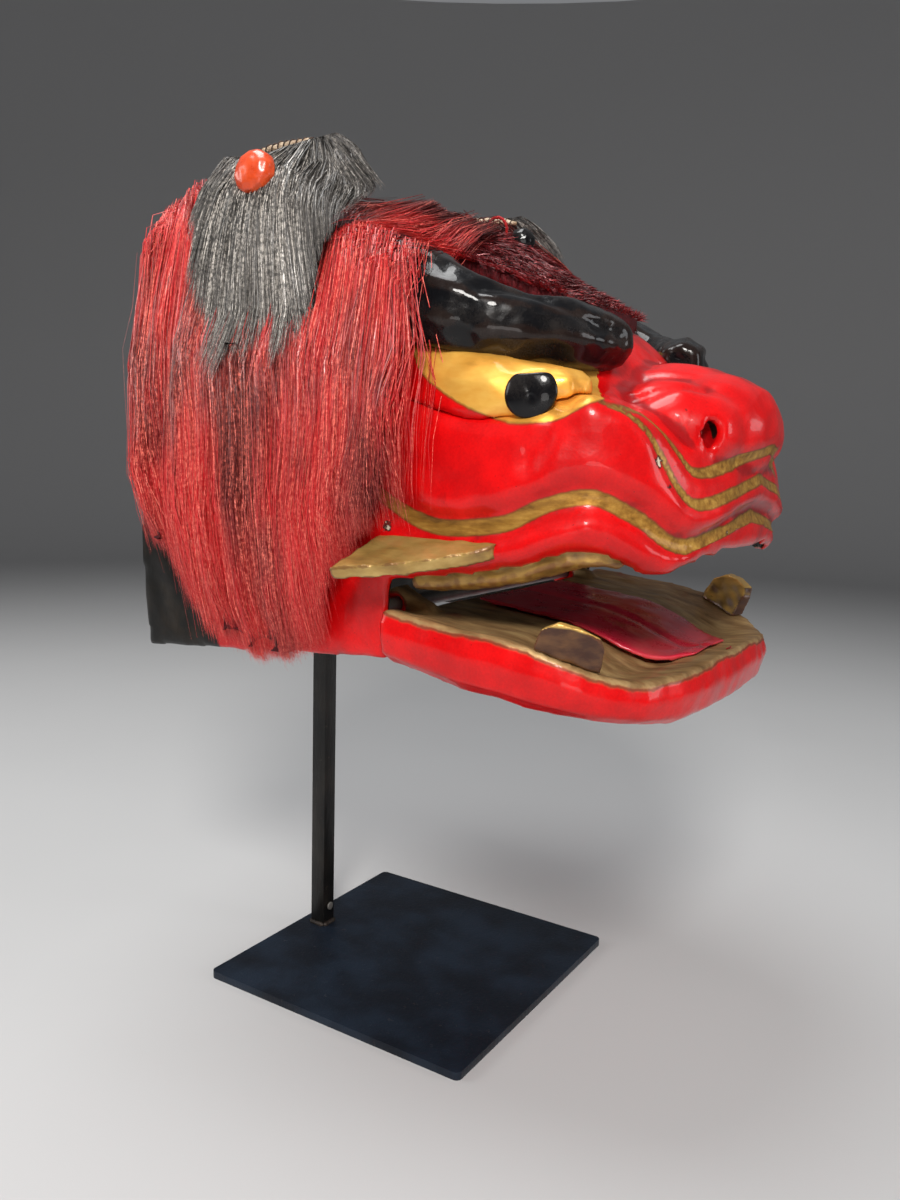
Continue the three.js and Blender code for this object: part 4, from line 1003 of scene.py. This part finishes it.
def comb_mane(side_name, side):
    chart = ManeChart(side_name, side)
    draw = np.random.default_rng(11 if side < 0 else 12)
    count = MANE_STRANDS
    share = draw.uniform(*MANE_SHARES, count)
    stray = draw.uniform(size=count) < STRAYS
    astray = stray & (draw.uniform(size=count) < STRAY_FRONT)
    share = np.where(astray, draw.uniform(*STRAY_FRONT_SHARES, count), share)
    clump = np.round(share * MANE_CLUMPS + draw.normal(0, MANE_CLUMP_MIX, count)) / MANE_CLUMPS
    clump_shift = ripple(np.stack([clump * 0.2, clump * 0.1, clump * 0], 1), 9, 5)
    hem = chart.hem(np.clip(share, *HEM_SHARES))
    cut = np.arctan2(HEM_OUT, MANE_HEM[:, 1] - AXIS_HEIGHT / MM)
    hem = np.minimum(hem, np.interp(chart.lane(share, hem) / MM, MANE_HEM[:, 0], cut, right=math.pi))
    hem = hem - np.abs(draw.normal(0, HEM_RAGGED, count)) + HEM_RAGGED + HEM_LOCKS * clump_shift
    from_crown = draw.uniform(size=count) < CROWN_ROOTS
    high_root = draw.uniform(*CROWN_ROOT_ANGLES, count)
    low_root = draw.uniform(*SIDE_ROOT_ANGLES, count)
    start = np.minimum(np.where(from_crown, high_root, low_root), hem - SHORTEST)
    t = np.linspace(0, 1, MANE_STATIONS)[None, :]
    angle = start[:, None] + (hem - start)[:, None] * t ** 0.92
    pull = LOCK_PULL * t ** 2.5
    depth = chart.lane(share[:, None] * (1 - pull) + clump[:, None] * pull, angle)
    wave = draw.uniform(0, 2 * math.pi, count)[:, None]
    drift = draw.normal(0, STRAND_DRIFT, count)
    drift = np.where((share < 0.1) & ~stray, np.abs(drift), drift)
    depth += (STRAND_WAVE * np.sin(wave + 6.0 * t) + drift[:, None] * t) * (0.3 + t)
    depth += np.where(stray, draw.normal(0, STRAY_DRIFT, count), 0)[:, None] * t ** 1.5
    layer = draw.uniform(0, 1, count)
    lift = (layer * HAIR_THICK - HAIR_SUNK) * MM
    lift = lift + np.where(stray, draw.uniform(*STRAY_LIFT, count), 0)
    radius = chart.reach(angle, np.clip(depth, MANE_DEPTHS[0], MANE_DEPTHS[-1])) + lift[:, None]
    radius += STRAND_BOUNCE * np.cos(wave * 1.7 + 6.5 * t) - TIP_DROP * t ** 6
    radius += REAR_FULLNESS * hump(depth - REAR_PLACE, REAR_WIDTH) * hump(angle - REAR_ANGLE, REAR_SPREAD)
    flat = np.stack([depth.ravel(), angle.ravel() * LOCK_TURN, angle.ravel() * 0], 1)
    relief = LOCK_RELIEF * ripple(flat, LOCK_LENGTH, 9).reshape(depth.shape)
    radius += relief * np.clip((angle - 0.3) * 2, 0, 1)
    spots = np.stack([side * radius * np.sin(angle), depth, AXIS_HEIGHT + radius * np.cos(angle)], 2)
    outward = np.stack([side * np.sin(angle), np.zeros_like(angle), np.cos(angle)], 2)
    widths = tapered(draw.uniform(*MANE_WIDTHS, count), t, *MANE_TAPER)
    # Tone sets how much painted highlight a strand gets; strands in the outer layer get more
    tone = np.clip(draw.beta(1.1, 2.6, count) * 0.8 + layer * 0.2, 0, 1)
    node = "mane_" + side_name
    hair = ribbons(node + "_hair", spots, outward, widths, tone, draw.normal(0, MANE_TWIST, count))
    settle(hair, MANE_HAIR, "head", "red_hair", node)
    under, spots = underhair(node, node + "_underhair", 4.4, 5, UNDER_INSET)
    hem_height = np.interp(spots[:, 1] / MM, MANE_HEM[:, 0], MANE_HEM[:, 1] + UNDER_HEM_LIFT) * MM
    spots[:, 2] = np.maximum(spots[:, 2], hem_height)
    squashed = -UNDER_FRONT + (spots[:, 1] + UNDER_FRONT) * UNDER_SQUASH
    spots[:, 1] = np.maximum(spots[:, 1], squashed)
    move_to(under, spots)
    settle(under, MANE_UNDER, "head", "red_hair", node)


# Ear hair: it fans from the hide rim to this ragged edge, as depth and height in millimetres
EAR_EDGE = ((44, 517), (52, 508), (64, 492), (69, 480), (67, 471), (60, 460), (67, 450), (60, 436),
            (52, 423), (47, 409), (33, 393), (27, 408), (15, 405), (-1, 416), (-8, 400), (-22, 418),
            (-26, 436), (-28, 457), (-34, 469), (-41, 487), (-40, 499), (-28, 512), (-14, 521))
EAR_RIM = ((52, 523), (30, 527), (10, 528.5), (-5, 529))
EAR_DEPTHS = np.linspace(-45, 75, 41)
EAR_HEIGHTS = np.linspace(388, 534, 50)
EAR_STRANDS, EAR_STATIONS = 5200, 6
EAR_WIDTHS, EAR_TAPER, EAR_TWIST = (0.32, 0.6), (1.05, 0.4), 0.6
EAR_CLUMPS, EAR_CLUMP_MIX = 40, 0.3
EAR_ROOT_MIX, EAR_END_MIX = 0.05, 0.006
EAR_UNDER_INSET, EAR_UNDER_FOOT = 0.0022, 0.414
EAR_SHORT, EAR_SHORT_LENGTHS, EAR_RAGGED = 0.35, (0.45, 0.9), 0.10
EAR_LOCK_PULL, EAR_BOW, EAR_WAVE = 0.55, 4.0, 0.8
EAR_THICK, EAR_SUNK, EAR_FLARE = 3.6, 1.0, 1.5
EAR_RAY_OUT = 0.3


def along_line(line, share):
    line = np.array(line, float)
    run = np.concatenate([[0], np.cumsum(np.linalg.norm(np.diff(line, axis=0), axis=1))])
    run /= run[-1]
    return np.stack([np.interp(share, run, line[:, k]) for k in range(line.shape[1])], -1)


def comb_ear(side_name, side):
    def ray(height, depth):
        start = Vector((side * EAR_RAY_OUT, depth * MM, height * MM))
        return start, Vector((-side, 0, 0)), EAR_RAY_OUT, lambda spot: abs(spot.x) / MM
    node = "ear_flap_" + side_name
    grid = filled_grid(surface_grid(node, EAR_HEIGHTS, EAR_DEPTHS, ray))
    draw = np.random.default_rng(21 if side < 0 else 22)
    count = EAR_STRANDS
    share = draw.uniform(0, 1, count)
    clump = np.round(share * EAR_CLUMPS + draw.normal(0, EAR_CLUMP_MIX, count)) / EAR_CLUMPS
    root = along_line(EAR_RIM, np.clip(share * 1.1 - 0.05 + draw.normal(0, EAR_ROOT_MIX, count), 0, 1))
    end = along_line(EAR_EDGE, np.clip(share + draw.normal(0, EAR_END_MIX, count), 0, 1))
    end = end * (1 - EAR_LOCK_PULL) + along_line(EAR_EDGE, np.clip(clump, 0, 1)) * EAR_LOCK_PULL
    length = np.clip(1.0 - np.abs(draw.normal(0, EAR_RAGGED, count)) + 0.02, 0.4, 1.03)
    short = draw.uniform(size=count) < EAR_SHORT
    length = np.where(short, length * draw.uniform(*EAR_SHORT_LENGTHS, count), length)
    t = np.linspace(0, 1, EAR_STATIONS)[None, :, None]
    goal = root + (end - root) * length[:, None]
    middle = (root + goal) / 2 + np.stack([(goal[:, 0] - root[:, 0]) * 0.12, np.full(count, EAR_BOW)], 1)
    flat = root[:, None] * (1 - t) ** 2 + middle[:, None] * 2 * t * (1 - t) + goal[:, None] * t ** 2
    t = t[..., 0]
    flat[:, :, 0] += EAR_WAVE * np.sin(draw.uniform(0, 6.28, count)[:, None] + 5 * t)
    reach = read_grid(grid, EAR_HEIGHTS, EAR_DEPTHS, flat[:, :, 1], flat[:, :, 0])
    layer = draw.uniform(0, 1, count)
    flare = EAR_FLARE * t * draw.uniform(0, 1, count)[:, None]
    reach = reach + (layer * EAR_THICK - EAR_SUNK)[:, None] + flare
    spots = np.stack([side * reach, flat[:, :, 0], flat[:, :, 1]], 2) * MM
    outward = np.zeros_like(spots)
    outward[:, :, 0] = side
    widths = tapered(draw.uniform(*EAR_WIDTHS, count), t, *EAR_TAPER)
    # Painted sheen: strands across the middle of the ear, and outer ones, get more of the highlight colour
    shine = 0.45 + 0.75 * hump(share - 0.45, 0.33)
    tone = np.clip(draw.beta(1.2, 2.4, count) * shine + layer * 0.1, 0, 1)
    twist = draw.normal(0, EAR_TWIST, count)
    hair = ribbons("ear_" + side_name + "_hair", spots, outward, widths, tone, twist)
    settle(hair, EAR_HAIR, "head", "dark_hair", node)
    under, spots = underhair(node, "ear_" + side_name + "_underhair", 2.8, 4, EAR_UNDER_INSET)
    spots[:, 2] = np.maximum(spots[:, 2], EAR_UNDER_FOOT)
    move_to(under, spots)
    settle(under, EAR_UNDER, "head", "dark_hair", node)


# Short crown hair, brushed forward and to the sides: places in millimetres
CROWN_ACROSS = np.linspace(-90, 90, 61)
CROWN_DEPTHS = np.linspace(-142, 12, 52)
CROWN_STRANDS, CROWN_STATIONS = 9000, 5
CROWN_WIDTHS, CROWN_TAPER, CROWN_TWIST = (0.4, 0.7), (1.05, 0.5), 0.6
CROWN_LENGTHS, CROWN_FRONT, CROWN_SHORTEST = (6, 15), 30, 0.25
CROWN_CELL = 1.6
CROWN_LOCK, CROWN_LOCK_SWING = 18, 0.45
CROWN_CURVE = 160
CROWN_UNDER_INSET = 0.0010
CROWN_THICK, CROWN_SUNK, CROWN_RISE = 2.0, 1.4, 4.2
CROWN_FAN, CROWN_SPREAD, CROWN_SCATTER = 60.0, 1.25, 0.5
CROWN_RAY_TOP, CROWN_RAY_REACH = 0.6, 0.3


def comb_crown():
    def ray(depth, x):
        start = Vector((x * MM, depth * MM, CROWN_RAY_TOP))
        return start, Vector((0, 0, -1)), CROWN_RAY_REACH, lambda spot: spot.z / MM
    grid = surface_grid("crown_hair", CROWN_DEPTHS, CROWN_ACROSS, ray)
    cells = np.argwhere(~np.isnan(grid))
    grid = filled_grid(grid)
    draw = np.random.default_rng(31)
    count = CROWN_STRANDS
    pick = cells[draw.integers(0, len(cells), count)]
    y0 = CROWN_DEPTHS[pick[:, 0]] + draw.uniform(-CROWN_CELL, CROWN_CELL, count)
    x0 = CROWN_ACROSS[pick[:, 1]] + draw.uniform(-CROWN_CELL, CROWN_CELL, count)
    t = np.linspace(0, 1, CROWN_STATIONS)[None, :]
    shorter = np.clip((y0 - CROWN_DEPTHS[0]) / CROWN_FRONT, CROWN_SHORTEST, 1)
    size = (draw.uniform(*CROWN_LENGTHS, count) * shorter)[:, None]
    swing = np.arctan2(x0, CROWN_FAN) * CROWN_SPREAD + draw.normal(0, CROWN_SCATTER, count)
    drift = ripple(np.stack([x0, y0, x0 * 0], 1) * MM, CROWN_LOCK, 8) * CROWN_LOCK_SWING
    x = x0[:, None] + np.sin(swing + drift)[:, None] * size * t
    y = y0[:, None] - np.cos(swing + drift)[:, None] * size * t
    z = read_grid(grid, CROWN_DEPTHS, CROWN_ACROSS, y, x)
    layer = draw.uniform(0, 1, count)
    rise = CROWN_RISE * t ** 1.4 * draw.uniform(0, 1, count)[:, None]
    z = z + (layer * CROWN_THICK - CROWN_SUNK)[:, None] + rise
    spots = np.stack([x, y, z], 2) * MM
    outward = np.zeros_like(spots)
    outward[:, :, 2] = 1
    outward[:, :, 0] = x / CROWN_CURVE
    widths = tapered(draw.uniform(*CROWN_WIDTHS, count), t, *CROWN_TAPER)
    # Tone sets how much painted highlight a strand gets
    tone = np.clip(draw.beta(1.4, 2.8, count) * 0.9, 0, 1)
    twist = draw.normal(0, CROWN_TWIST, count)
    hair = ribbons("crown_hair_strands", spots, outward, widths, tone, twist)
    settle(hair, CROWN_DARK_HAIR_AND_SHADE, "head", "red_hair", "crown_hair")
    under, spots = underhair("crown_hair", "crown_underhair", 3.0, 4, CROWN_UNDER_INSET)
    move_to(under, spots)
    settle(under, MANE_UNDER, "head", "red_hair", "crown_hair")


# Hide rims with their dark stitches: places of the loops in metres, turns in degrees
STITCHES, STITCH_THICK, STITCH_PROUD, STITCH_BAND = 13, 0.00042, 0.0003, 0.0012
STITCH_SLANT = (0.001, 0.0022)
STITCH_START, STITCH_TURN, STITCH_STEPS = -70, 300, 8


def thread_loop(rings, sides=6):
    spots = []
    faces = []
    for index, (centre, radius) in enumerate(rings):
        before = rings[max(index - 1, 0)][0]
        after = rings[min(index + 1, len(rings) - 1)][0]
        way = (after - before).normalized()
        side = way.orthogonal().normalized()
        lift = way.cross(side)
        for step in range(sides):
            turn = 2 * math.pi * step / sides
            spots.append(centre + (side * math.cos(turn) + lift * math.sin(turn)) * radius)
    for ring in range(len(rings) - 1):
        for step in range(sides):
            a = ring * sides + step
            b = ring * sides + (step + 1) % sides
            faces.append((a, b, b + sides, a + sides))
    faces.append(tuple(range(sides))[::-1])
    faces.append(tuple((len(rings) - 1) * sides + step for step in range(sides)))
    return spots, faces


def joined(name, parts):
    spots = []
    faces = []
    for part_spots, part_faces in parts:
        base = len(spots)
        spots += part_spots
        faces += [tuple(base + corner for corner in face) for face in part_faces]
    mesh = bpy.data.meshes.new(name)
    mesh.from_pydata(spots, [], faces)
    piece = added(name, mesh)
    closed_outward(piece)
    return piece


def finish_rim(side_name):
    node = "ear_rim_" + side_name
    rim = carved(node, node + "_hide", 0.8, 5, swell=0.25, length=6.0, seed=7)
    settle(rim, HIDE, "head", "rawhide", node)
    spots = points(rim)
    low, high = spots[:, 1].min(), spots[:, 1].max()
    parts = []
    draw = np.random.default_rng(41)
    for step in range(STITCHES):
        depth = low + (high - low) * (step + 0.7) / (STITCHES + 0.4)
        band = spots[np.abs(spots[:, 1] - depth) < STITCH_BAND]
        if len(band) < 6:
            continue
        first, last = band.min(0), band.max(0)
        centre = Vector(((first[0] + last[0]) / 2, depth, (first[2] + last[2]) / 2))
        reach = (last - first) / 2 + STITCH_PROUD
        slant = draw.uniform(*STITCH_SLANT)
        rings = []
        for turn_step in range(STITCH_STEPS + 1):
            turn = math.radians(STITCH_START + STITCH_TURN * turn_step / STITCH_STEPS)
            along = slant * (turn_step / 4 - 1)
            spot = centre + Vector((math.cos(turn) * reach[0], along, math.sin(turn) * reach[2]))
            rings.append((spot, STITCH_THICK))
        parts.append(thread_loop(rings))
    stitches = joined(node + "_stitches", parts)
    settle(stitches, DARK_THREAD, "head", "rawhide")


# Stand: plate, bar and the weld at the bar's foot, in metres
PLATE_BEVEL, BAR_BEVEL = 0.0009, 0.0008
PLATE_TOP = 0.0054
FOOT_HEIGHT = 0.03
WELD_STEPS, WELD_OUT, WELD_BEAD, WELD_RIPPLE, WELD_CHANCE = 14, 0.0003, 0.0019, 0.0004, 0.0002


def bevelled(node, width):
    piece = copy_of(node, node + "_steel")
    apply(piece, "BEVEL", width=width, segments=3, limit_method="ANGLE", angle_limit=math.radians(40))
    select_only(piece)
    bpy.ops.object.shade_smooth_by_angle(angle=math.radians(35))
    return piece


def build_stand():
    plate = bevelled("stand_plate", PLATE_BEVEL)
    settle(plate, PLATE_STEEL, "head", "dark_steel", "stand_plate")
    bar = bevelled("stand_post", BAR_BEVEL)
    settle(bar, BAR_STEEL, "head", "dark_steel", "stand_post")
    screw = carved("stand_screw", "stand_screw_head", 0.35, 4, swell=0)
    settle(screw, SCREW_STEEL, "head", "dark_steel", "stand_screw")
    foot = points(bar)
    foot = foot[foot[:, 2] < FOOT_HEIGHT]
    middle = (foot.min(0) + foot.max(0)) / 2
    half = (foot.max(0) - foot.min(0)) / 2
    draw = np.random.default_rng(51)
    parts = []
    for edge in range(4):
        turn = Matrix.Rotation(edge * math.pi / 2, 3, "Z")
        rings = []
        for step in range(WELD_STEPS + 1):
            share = 2 * step / WELD_STEPS - 1
            spot = turn @ Vector((share * half[0], half[1] + WELD_OUT, 0))
            bead = WELD_BEAD + WELD_RIPPLE * math.cos(step * 2.6) + draw.uniform(-WELD_CHANCE, WELD_CHANCE)
            bead *= 0.35 + 0.65 * min(1.0, 3.5 * (1 - abs(share)) + 0.5)
            rings.append((Vector((middle[0] + spot.x, middle[1] + spot.y, PLATE_TOP)), bead))
        parts.append(thread_loop(rings, 8))
    weld = joined("stand_weld", parts)
    settle(weld, WELD_STEEL, "head", "dark_steel")


# Pupil: a domed bead with a flattened top, set on the eye, in metres
PUPIL_SPOT, PUPIL_WAY = (0.1301, -0.1445, 0.3885), (0.962, -0.272, 0.02)
PUPIL_SIZES = (0.0122, 0.0128, 0.0040)
PUPIL_LIFT, PUPIL_LUMP = 0.0002, 0.06
PUPIL_FLAT, PUPIL_CROWN = 0.55, 0.22


def set_pupil(side_name, side):
    out = Vector((side * PUPIL_WAY[0], *PUPIL_WAY[1:])).normalized()
    near = Vector((side * PUPIL_SPOT[0], *PUPIL_SPOT[1:])) + out * 0.05
    spot, _, _, _ = tree_of("eye_" + side_name).ray_cast(near, -out, 0.08)
    bpy.ops.object.select_all(action="DESELECT")
    bpy.ops.mesh.primitive_ico_sphere_add(subdivisions=5, radius=1.0, location=(0, 0, 0))
    pupil = bpy.context.object
    pupil.name = "pupil_" + side_name + "_bead"
    shape = points(pupil)
    high = shape[:, 1]
    flattened = PUPIL_FLAT + PUPIL_CROWN * np.tanh((high - PUPIL_FLAT) / PUPIL_CROWN)
    shape[:, 1] = np.where(high > PUPIL_FLAT, flattened, high)
    bulk = 1 + PUPIL_LUMP * np.cos(2 * np.arctan2(shape[:, 1], shape[:, 0]) + 0.6)
    across = out.cross(Vector((0, 0, 1))).normalized()
    rows = np.array([across, across.cross(out), out])
    place = np.array(spot) + np.array(out) * PUPIL_LIFT
    move_to(pupil, place + (shape * np.array(PUPIL_SIZES) * bulk[:, None]) @ rows)
    closed_outward(pupil)
    note(pupil, "cavity", np.zeros(len(shape)))
    settle(pupil, BLACK, "head", "black_lacquer", "pupil_" + side_name)


# Small pieces: ending of the name, voxel, rounds of smoothing, swell, its length in millimetres and its seed
CARVINGS = {
    "brow": ("_carving", 1.8, 10, 0.6, 19, 61),
    "eye": ("_field", 1.5, 22, 0.25, 14, 62),
    "upper_gum": ("_band", 1.5, 6, 0.3, 9, 64),
    "side_tusk": ("_leaf", 1.0, 3, 0.3, 13, 65),
    "lower_fang": ("_plate", 0.8, 2, 0.2, 9, 66),
    "ear_tack": ("_dome", 0.7, 8, 0.12, 6, 67),
    "crown_knob": ("_bead", 0.6, 6, 0.1, 5, 68),
    "lower_jaw": ("_carving", 2.1, 12, 0.3, 20, 69),
    "tongue": ("_carving", 2.2, 5, 0.35, 18, 70),
}
BROW_CREASE = ((124, -112, 438), (107, -130.5, 437), (101, -144, 431), (87, -155, 426), (66, -163, 420))
BROW_CREASE_DEPTH, BROW_CREASE_WIDTH = 3.0, 4.2
BROW_SWELL = 0.0026
CREST_REACH, CREST_SLOPE, CREST_DEPTH = 5, 12, 2.6


def carving(kind, side_ending=""):
    ending, voxel, rounds, swell, length, seed = CARVINGS[kind]
    node = kind + side_ending
    return node, carved(node, node + ending, voxel, rounds, swell=swell, length=length, seed=seed)


def build_face(side_name, side):
    ending = "_" + side_name
    node, brow = carving("brow", ending)
    move_to(brow, points(brow) + directions(brow) * BROW_SWELL)
    spots = points(brow) / MM
    sink = BROW_CREASE_DEPTH * hump(path_gap(mirrored(spots), curved(BROW_CREASE)), BROW_CREASE_WIDTH)
    move_to(brow, (spots - directions(brow) * sink[:, None]) * MM)
    settle(brow, BLACK, "head", "black_lacquer", node)
    node, eye = carving("eye", ending)
    note(eye, "eye_part", eye_margin(points(eye) / MM))
    settle(eye, EYE_GOLD, "head", "gold_paint", node)
    set_pupil(side_name, side)
    node, gum = carving("upper_gum", ending)
    settle(gum, GUM_GOLD, "head", "gold_paint", node)
    node, tusk = carving("side_tusk", ending)
    settle(tusk, TUSK_GOLD, "head", "gold_paint", node)
    node, fang = carving("lower_fang", ending)
    # The crest marks the fang's top edge, which its finish paints bright as a highlight
    spots = points(fang) / MM
    near = np.linalg.norm(spots[:, None, :2] - spots[None, :, :2], axis=2) < CREST_REACH
    below = np.where(near, spots[None, :, 2], 0).max(1) - spots[:, 2]
    note(fang, "lit_crest", np.minimum(CREST_SLOPE * (1 - directions(fang)[:, 2]), CREST_DEPTH * below))
    settle(fang, FANG_GOLD_AND_SHADE, "jaw", "old_gold", node)
    node, tack = carving("ear_tack", ending)
    settle(tack, TACK, "head", "tack_orange", node)
    finish_rim(side_name)


def build_crown_ties():
    node, knob = carving("crown_knob")
    settle(knob, BLACK, "head", "black_lacquer", node)
    dress(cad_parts["crown_tie"], RED_THREAD)


def build_jaw():
    node, jaw = carving("lower_jaw")
    upward = np.clip((directions(jaw)[:, 2] - 0.15) / 0.5, 0, 1)[:, None]
    mean = neighbours(jaw)
    for _ in range(12):
        upward = mean(upward)
    note(jaw, "floor_part", upward[:, 0])
    settle(jaw, JAW_RED, "jaw", "red_lacquer", node)
    dress(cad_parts["jaw_pin"], SCREW_STEEL)


# Tongue, laid down on the jaw's floor: millimetres
TONGUE_RISE, TONGUE_STAND = 1.0, 0.35
FLOOR_GAP = 16
TIP_START, TIP_LENGTH = -150, 60
TIP_LEAST, TIP_MOST = 12, 50
TIP_FULL = 0.86
TONGUE_GROOVE_DEPTH, TONGUE_GROOVE_WIDTH = 1.2, 5.0


def build_tongue():
    node, tongue = carving("tongue")
    spots = points(tongue) / MM
    floor_tree = tree_of("lower_jaw")
    bed = spots[:, 2].copy()
    for index, (x, y, _) in enumerate(spots):
        spot, _, _, _ = floor_tree.ray_cast(Vector((x * MM, y * MM, 0.5)), Vector((0, 0, -1)), 0.5)
        if spot is not None:
            bed[index] = spot.z / MM
    bed = np.where(np.abs(bed - spots[:, 2]) < FLOOR_GAP, bed, spots[:, 2])
    proud = TONGUE_RISE + TONGUE_STAND * np.maximum(spots[:, 2] - bed, 0)
    spots[:, 2] = np.minimum(spots[:, 2], bed + proud)
    tip = np.clip((TIP_START - spots[:, 1]) / TIP_LENGTH, 0, 0.999)
    round_tip = (TIP_LEAST + (TIP_MOST - TIP_LEAST) * np.sqrt(1 - tip ** 2)) / TIP_MOST
    spots[:, 0] *= np.minimum(1, round_tip) / np.where(tip > 0, TIP_FULL + (1 - TIP_FULL) * (1 - tip), 1)
    move_to(tongue, spots * MM)
    relax(tongue, 3)
    spots = points(tongue) / MM
    ways = directions(tongue)
    sink = TONGUE_GROOVE_DEPTH * hump(np.abs(spots[:, 0]), TONGUE_GROOVE_WIDTH) * (ways[:, 2] > 0.3)
    move_to(tongue, (spots - ways * sink[:, None]) * MM)
    settle(tongue, TONGUE, "jaw", "tongue_red", node)


# Finishes
TOOLING = hand_tooling()
WEAR_AND_CREASES = edge_wear_and_creases()
STREAKS = brush_streaks()
STRANDS = strand_colour()
HEAD_RED = finish_head_red()
JAW_RED = finish_jaw_red()
BLACK = finish_black()
EYE_GOLD = finish_eye()
GUM_GOLD = finish_gold("gum_gold", (0.12, 0.05, 0.012), (0.40, 0.22, 0.045), (0.68, 0.43, 0.11), 0.5)
TUSK_GOLD = finish_gold("tusk_gold", (0.20, 0.11, 0.03), (0.42, 0.26, 0.07), (0.60, 0.41, 0.14), 0.5)
# Fang gold: dark old gold, darkened further to paint the shade on the fangs' faces
FANG_GOLD_AND_SHADE = finish_gold("old_gold_paint", (0.022, 0.007, 0.004), (0.065, 0.022, 0.009),
                       (0.17, 0.075, 0.025), 0.4, lit_crest=True)
TONGUE = finish_tongue()
MANE_HAIR = finish_hair("mane_red_hair", (0.075, 0.0006, 0.004), (0.56, 0.005, 0.012),
                        (1.0, 0.23, 0.17), rough=0.36)
# Crown hair: darker red than the mane, partly its own colour and partly painted shade
CROWN_DARK_HAIR_AND_SHADE = finish_hair("crown_dark_red_hair_and_shade", (0.035, 0.002, 0.004), (0.16, 0.006, 0.010), (0.50, 0.06, 0.06))
EAR_HAIR = finish_hair("ear_dark_hair", (0.008, 0.0075, 0.0075), (0.055, 0.050, 0.047),
                       (0.66, 0.61, 0.55), rough=0.36)
# Underhair colours, dark to paint the shade below the strands
MANE_UNDER = finish_shaded_underhair("mane_underhair", (0.035, 0.001, 0.003), (0.18, 0.005, 0.010))
EAR_UNDER = finish_shaded_underhair("ear_underhair_shade", (0.003, 0.003, 0.003), (0.014, 0.013, 0.013))
HIDE = finish_hide()
TACK = finish_tack()
RED_THREAD = finish_thread("red_thread_twist", (0.20, 0.004, 0.006), (0.55, 0.02, 0.02))
DARK_THREAD = finish_thread("dark_thread_twist", (0.02, 0.012, 0.01), (0.10, 0.06, 0.045))
PLATE_STEEL = finish_steel("plate_steel", (0.006, 0.009, 0.016), (0.014, 0.024, 0.042), 0.34, 0.25)
BAR_STEEL = finish_steel("bar_steel", (0.006, 0.006, 0.006), (0.020, 0.017, 0.014), 0.30, 0.6)
SCREW_STEEL = finish_steel("screw_steel", (0.10, 0.095, 0.09), (0.25, 0.24, 0.22), 0.28, 0.3)
WELD_STEEL = finish_steel("weld_steel", (0.016, 0.013, 0.011), (0.07, 0.05, 0.04), 0.45, 0.8)

# The whole scene
place_camera()
place_studio()
lay_floor()
head = carve_head()
settle(head, HEAD_RED, "head", "red_lacquer", "head_shell")
for side_name, side in SIDES:
    build_face(side_name, side)
build_crown_ties()
build_jaw()
build_tongue()
for side_name, side in SIDES:
    comb_mane(side_name, side)
    comb_ear(side_name, side)
comb_crown()
build_stand()
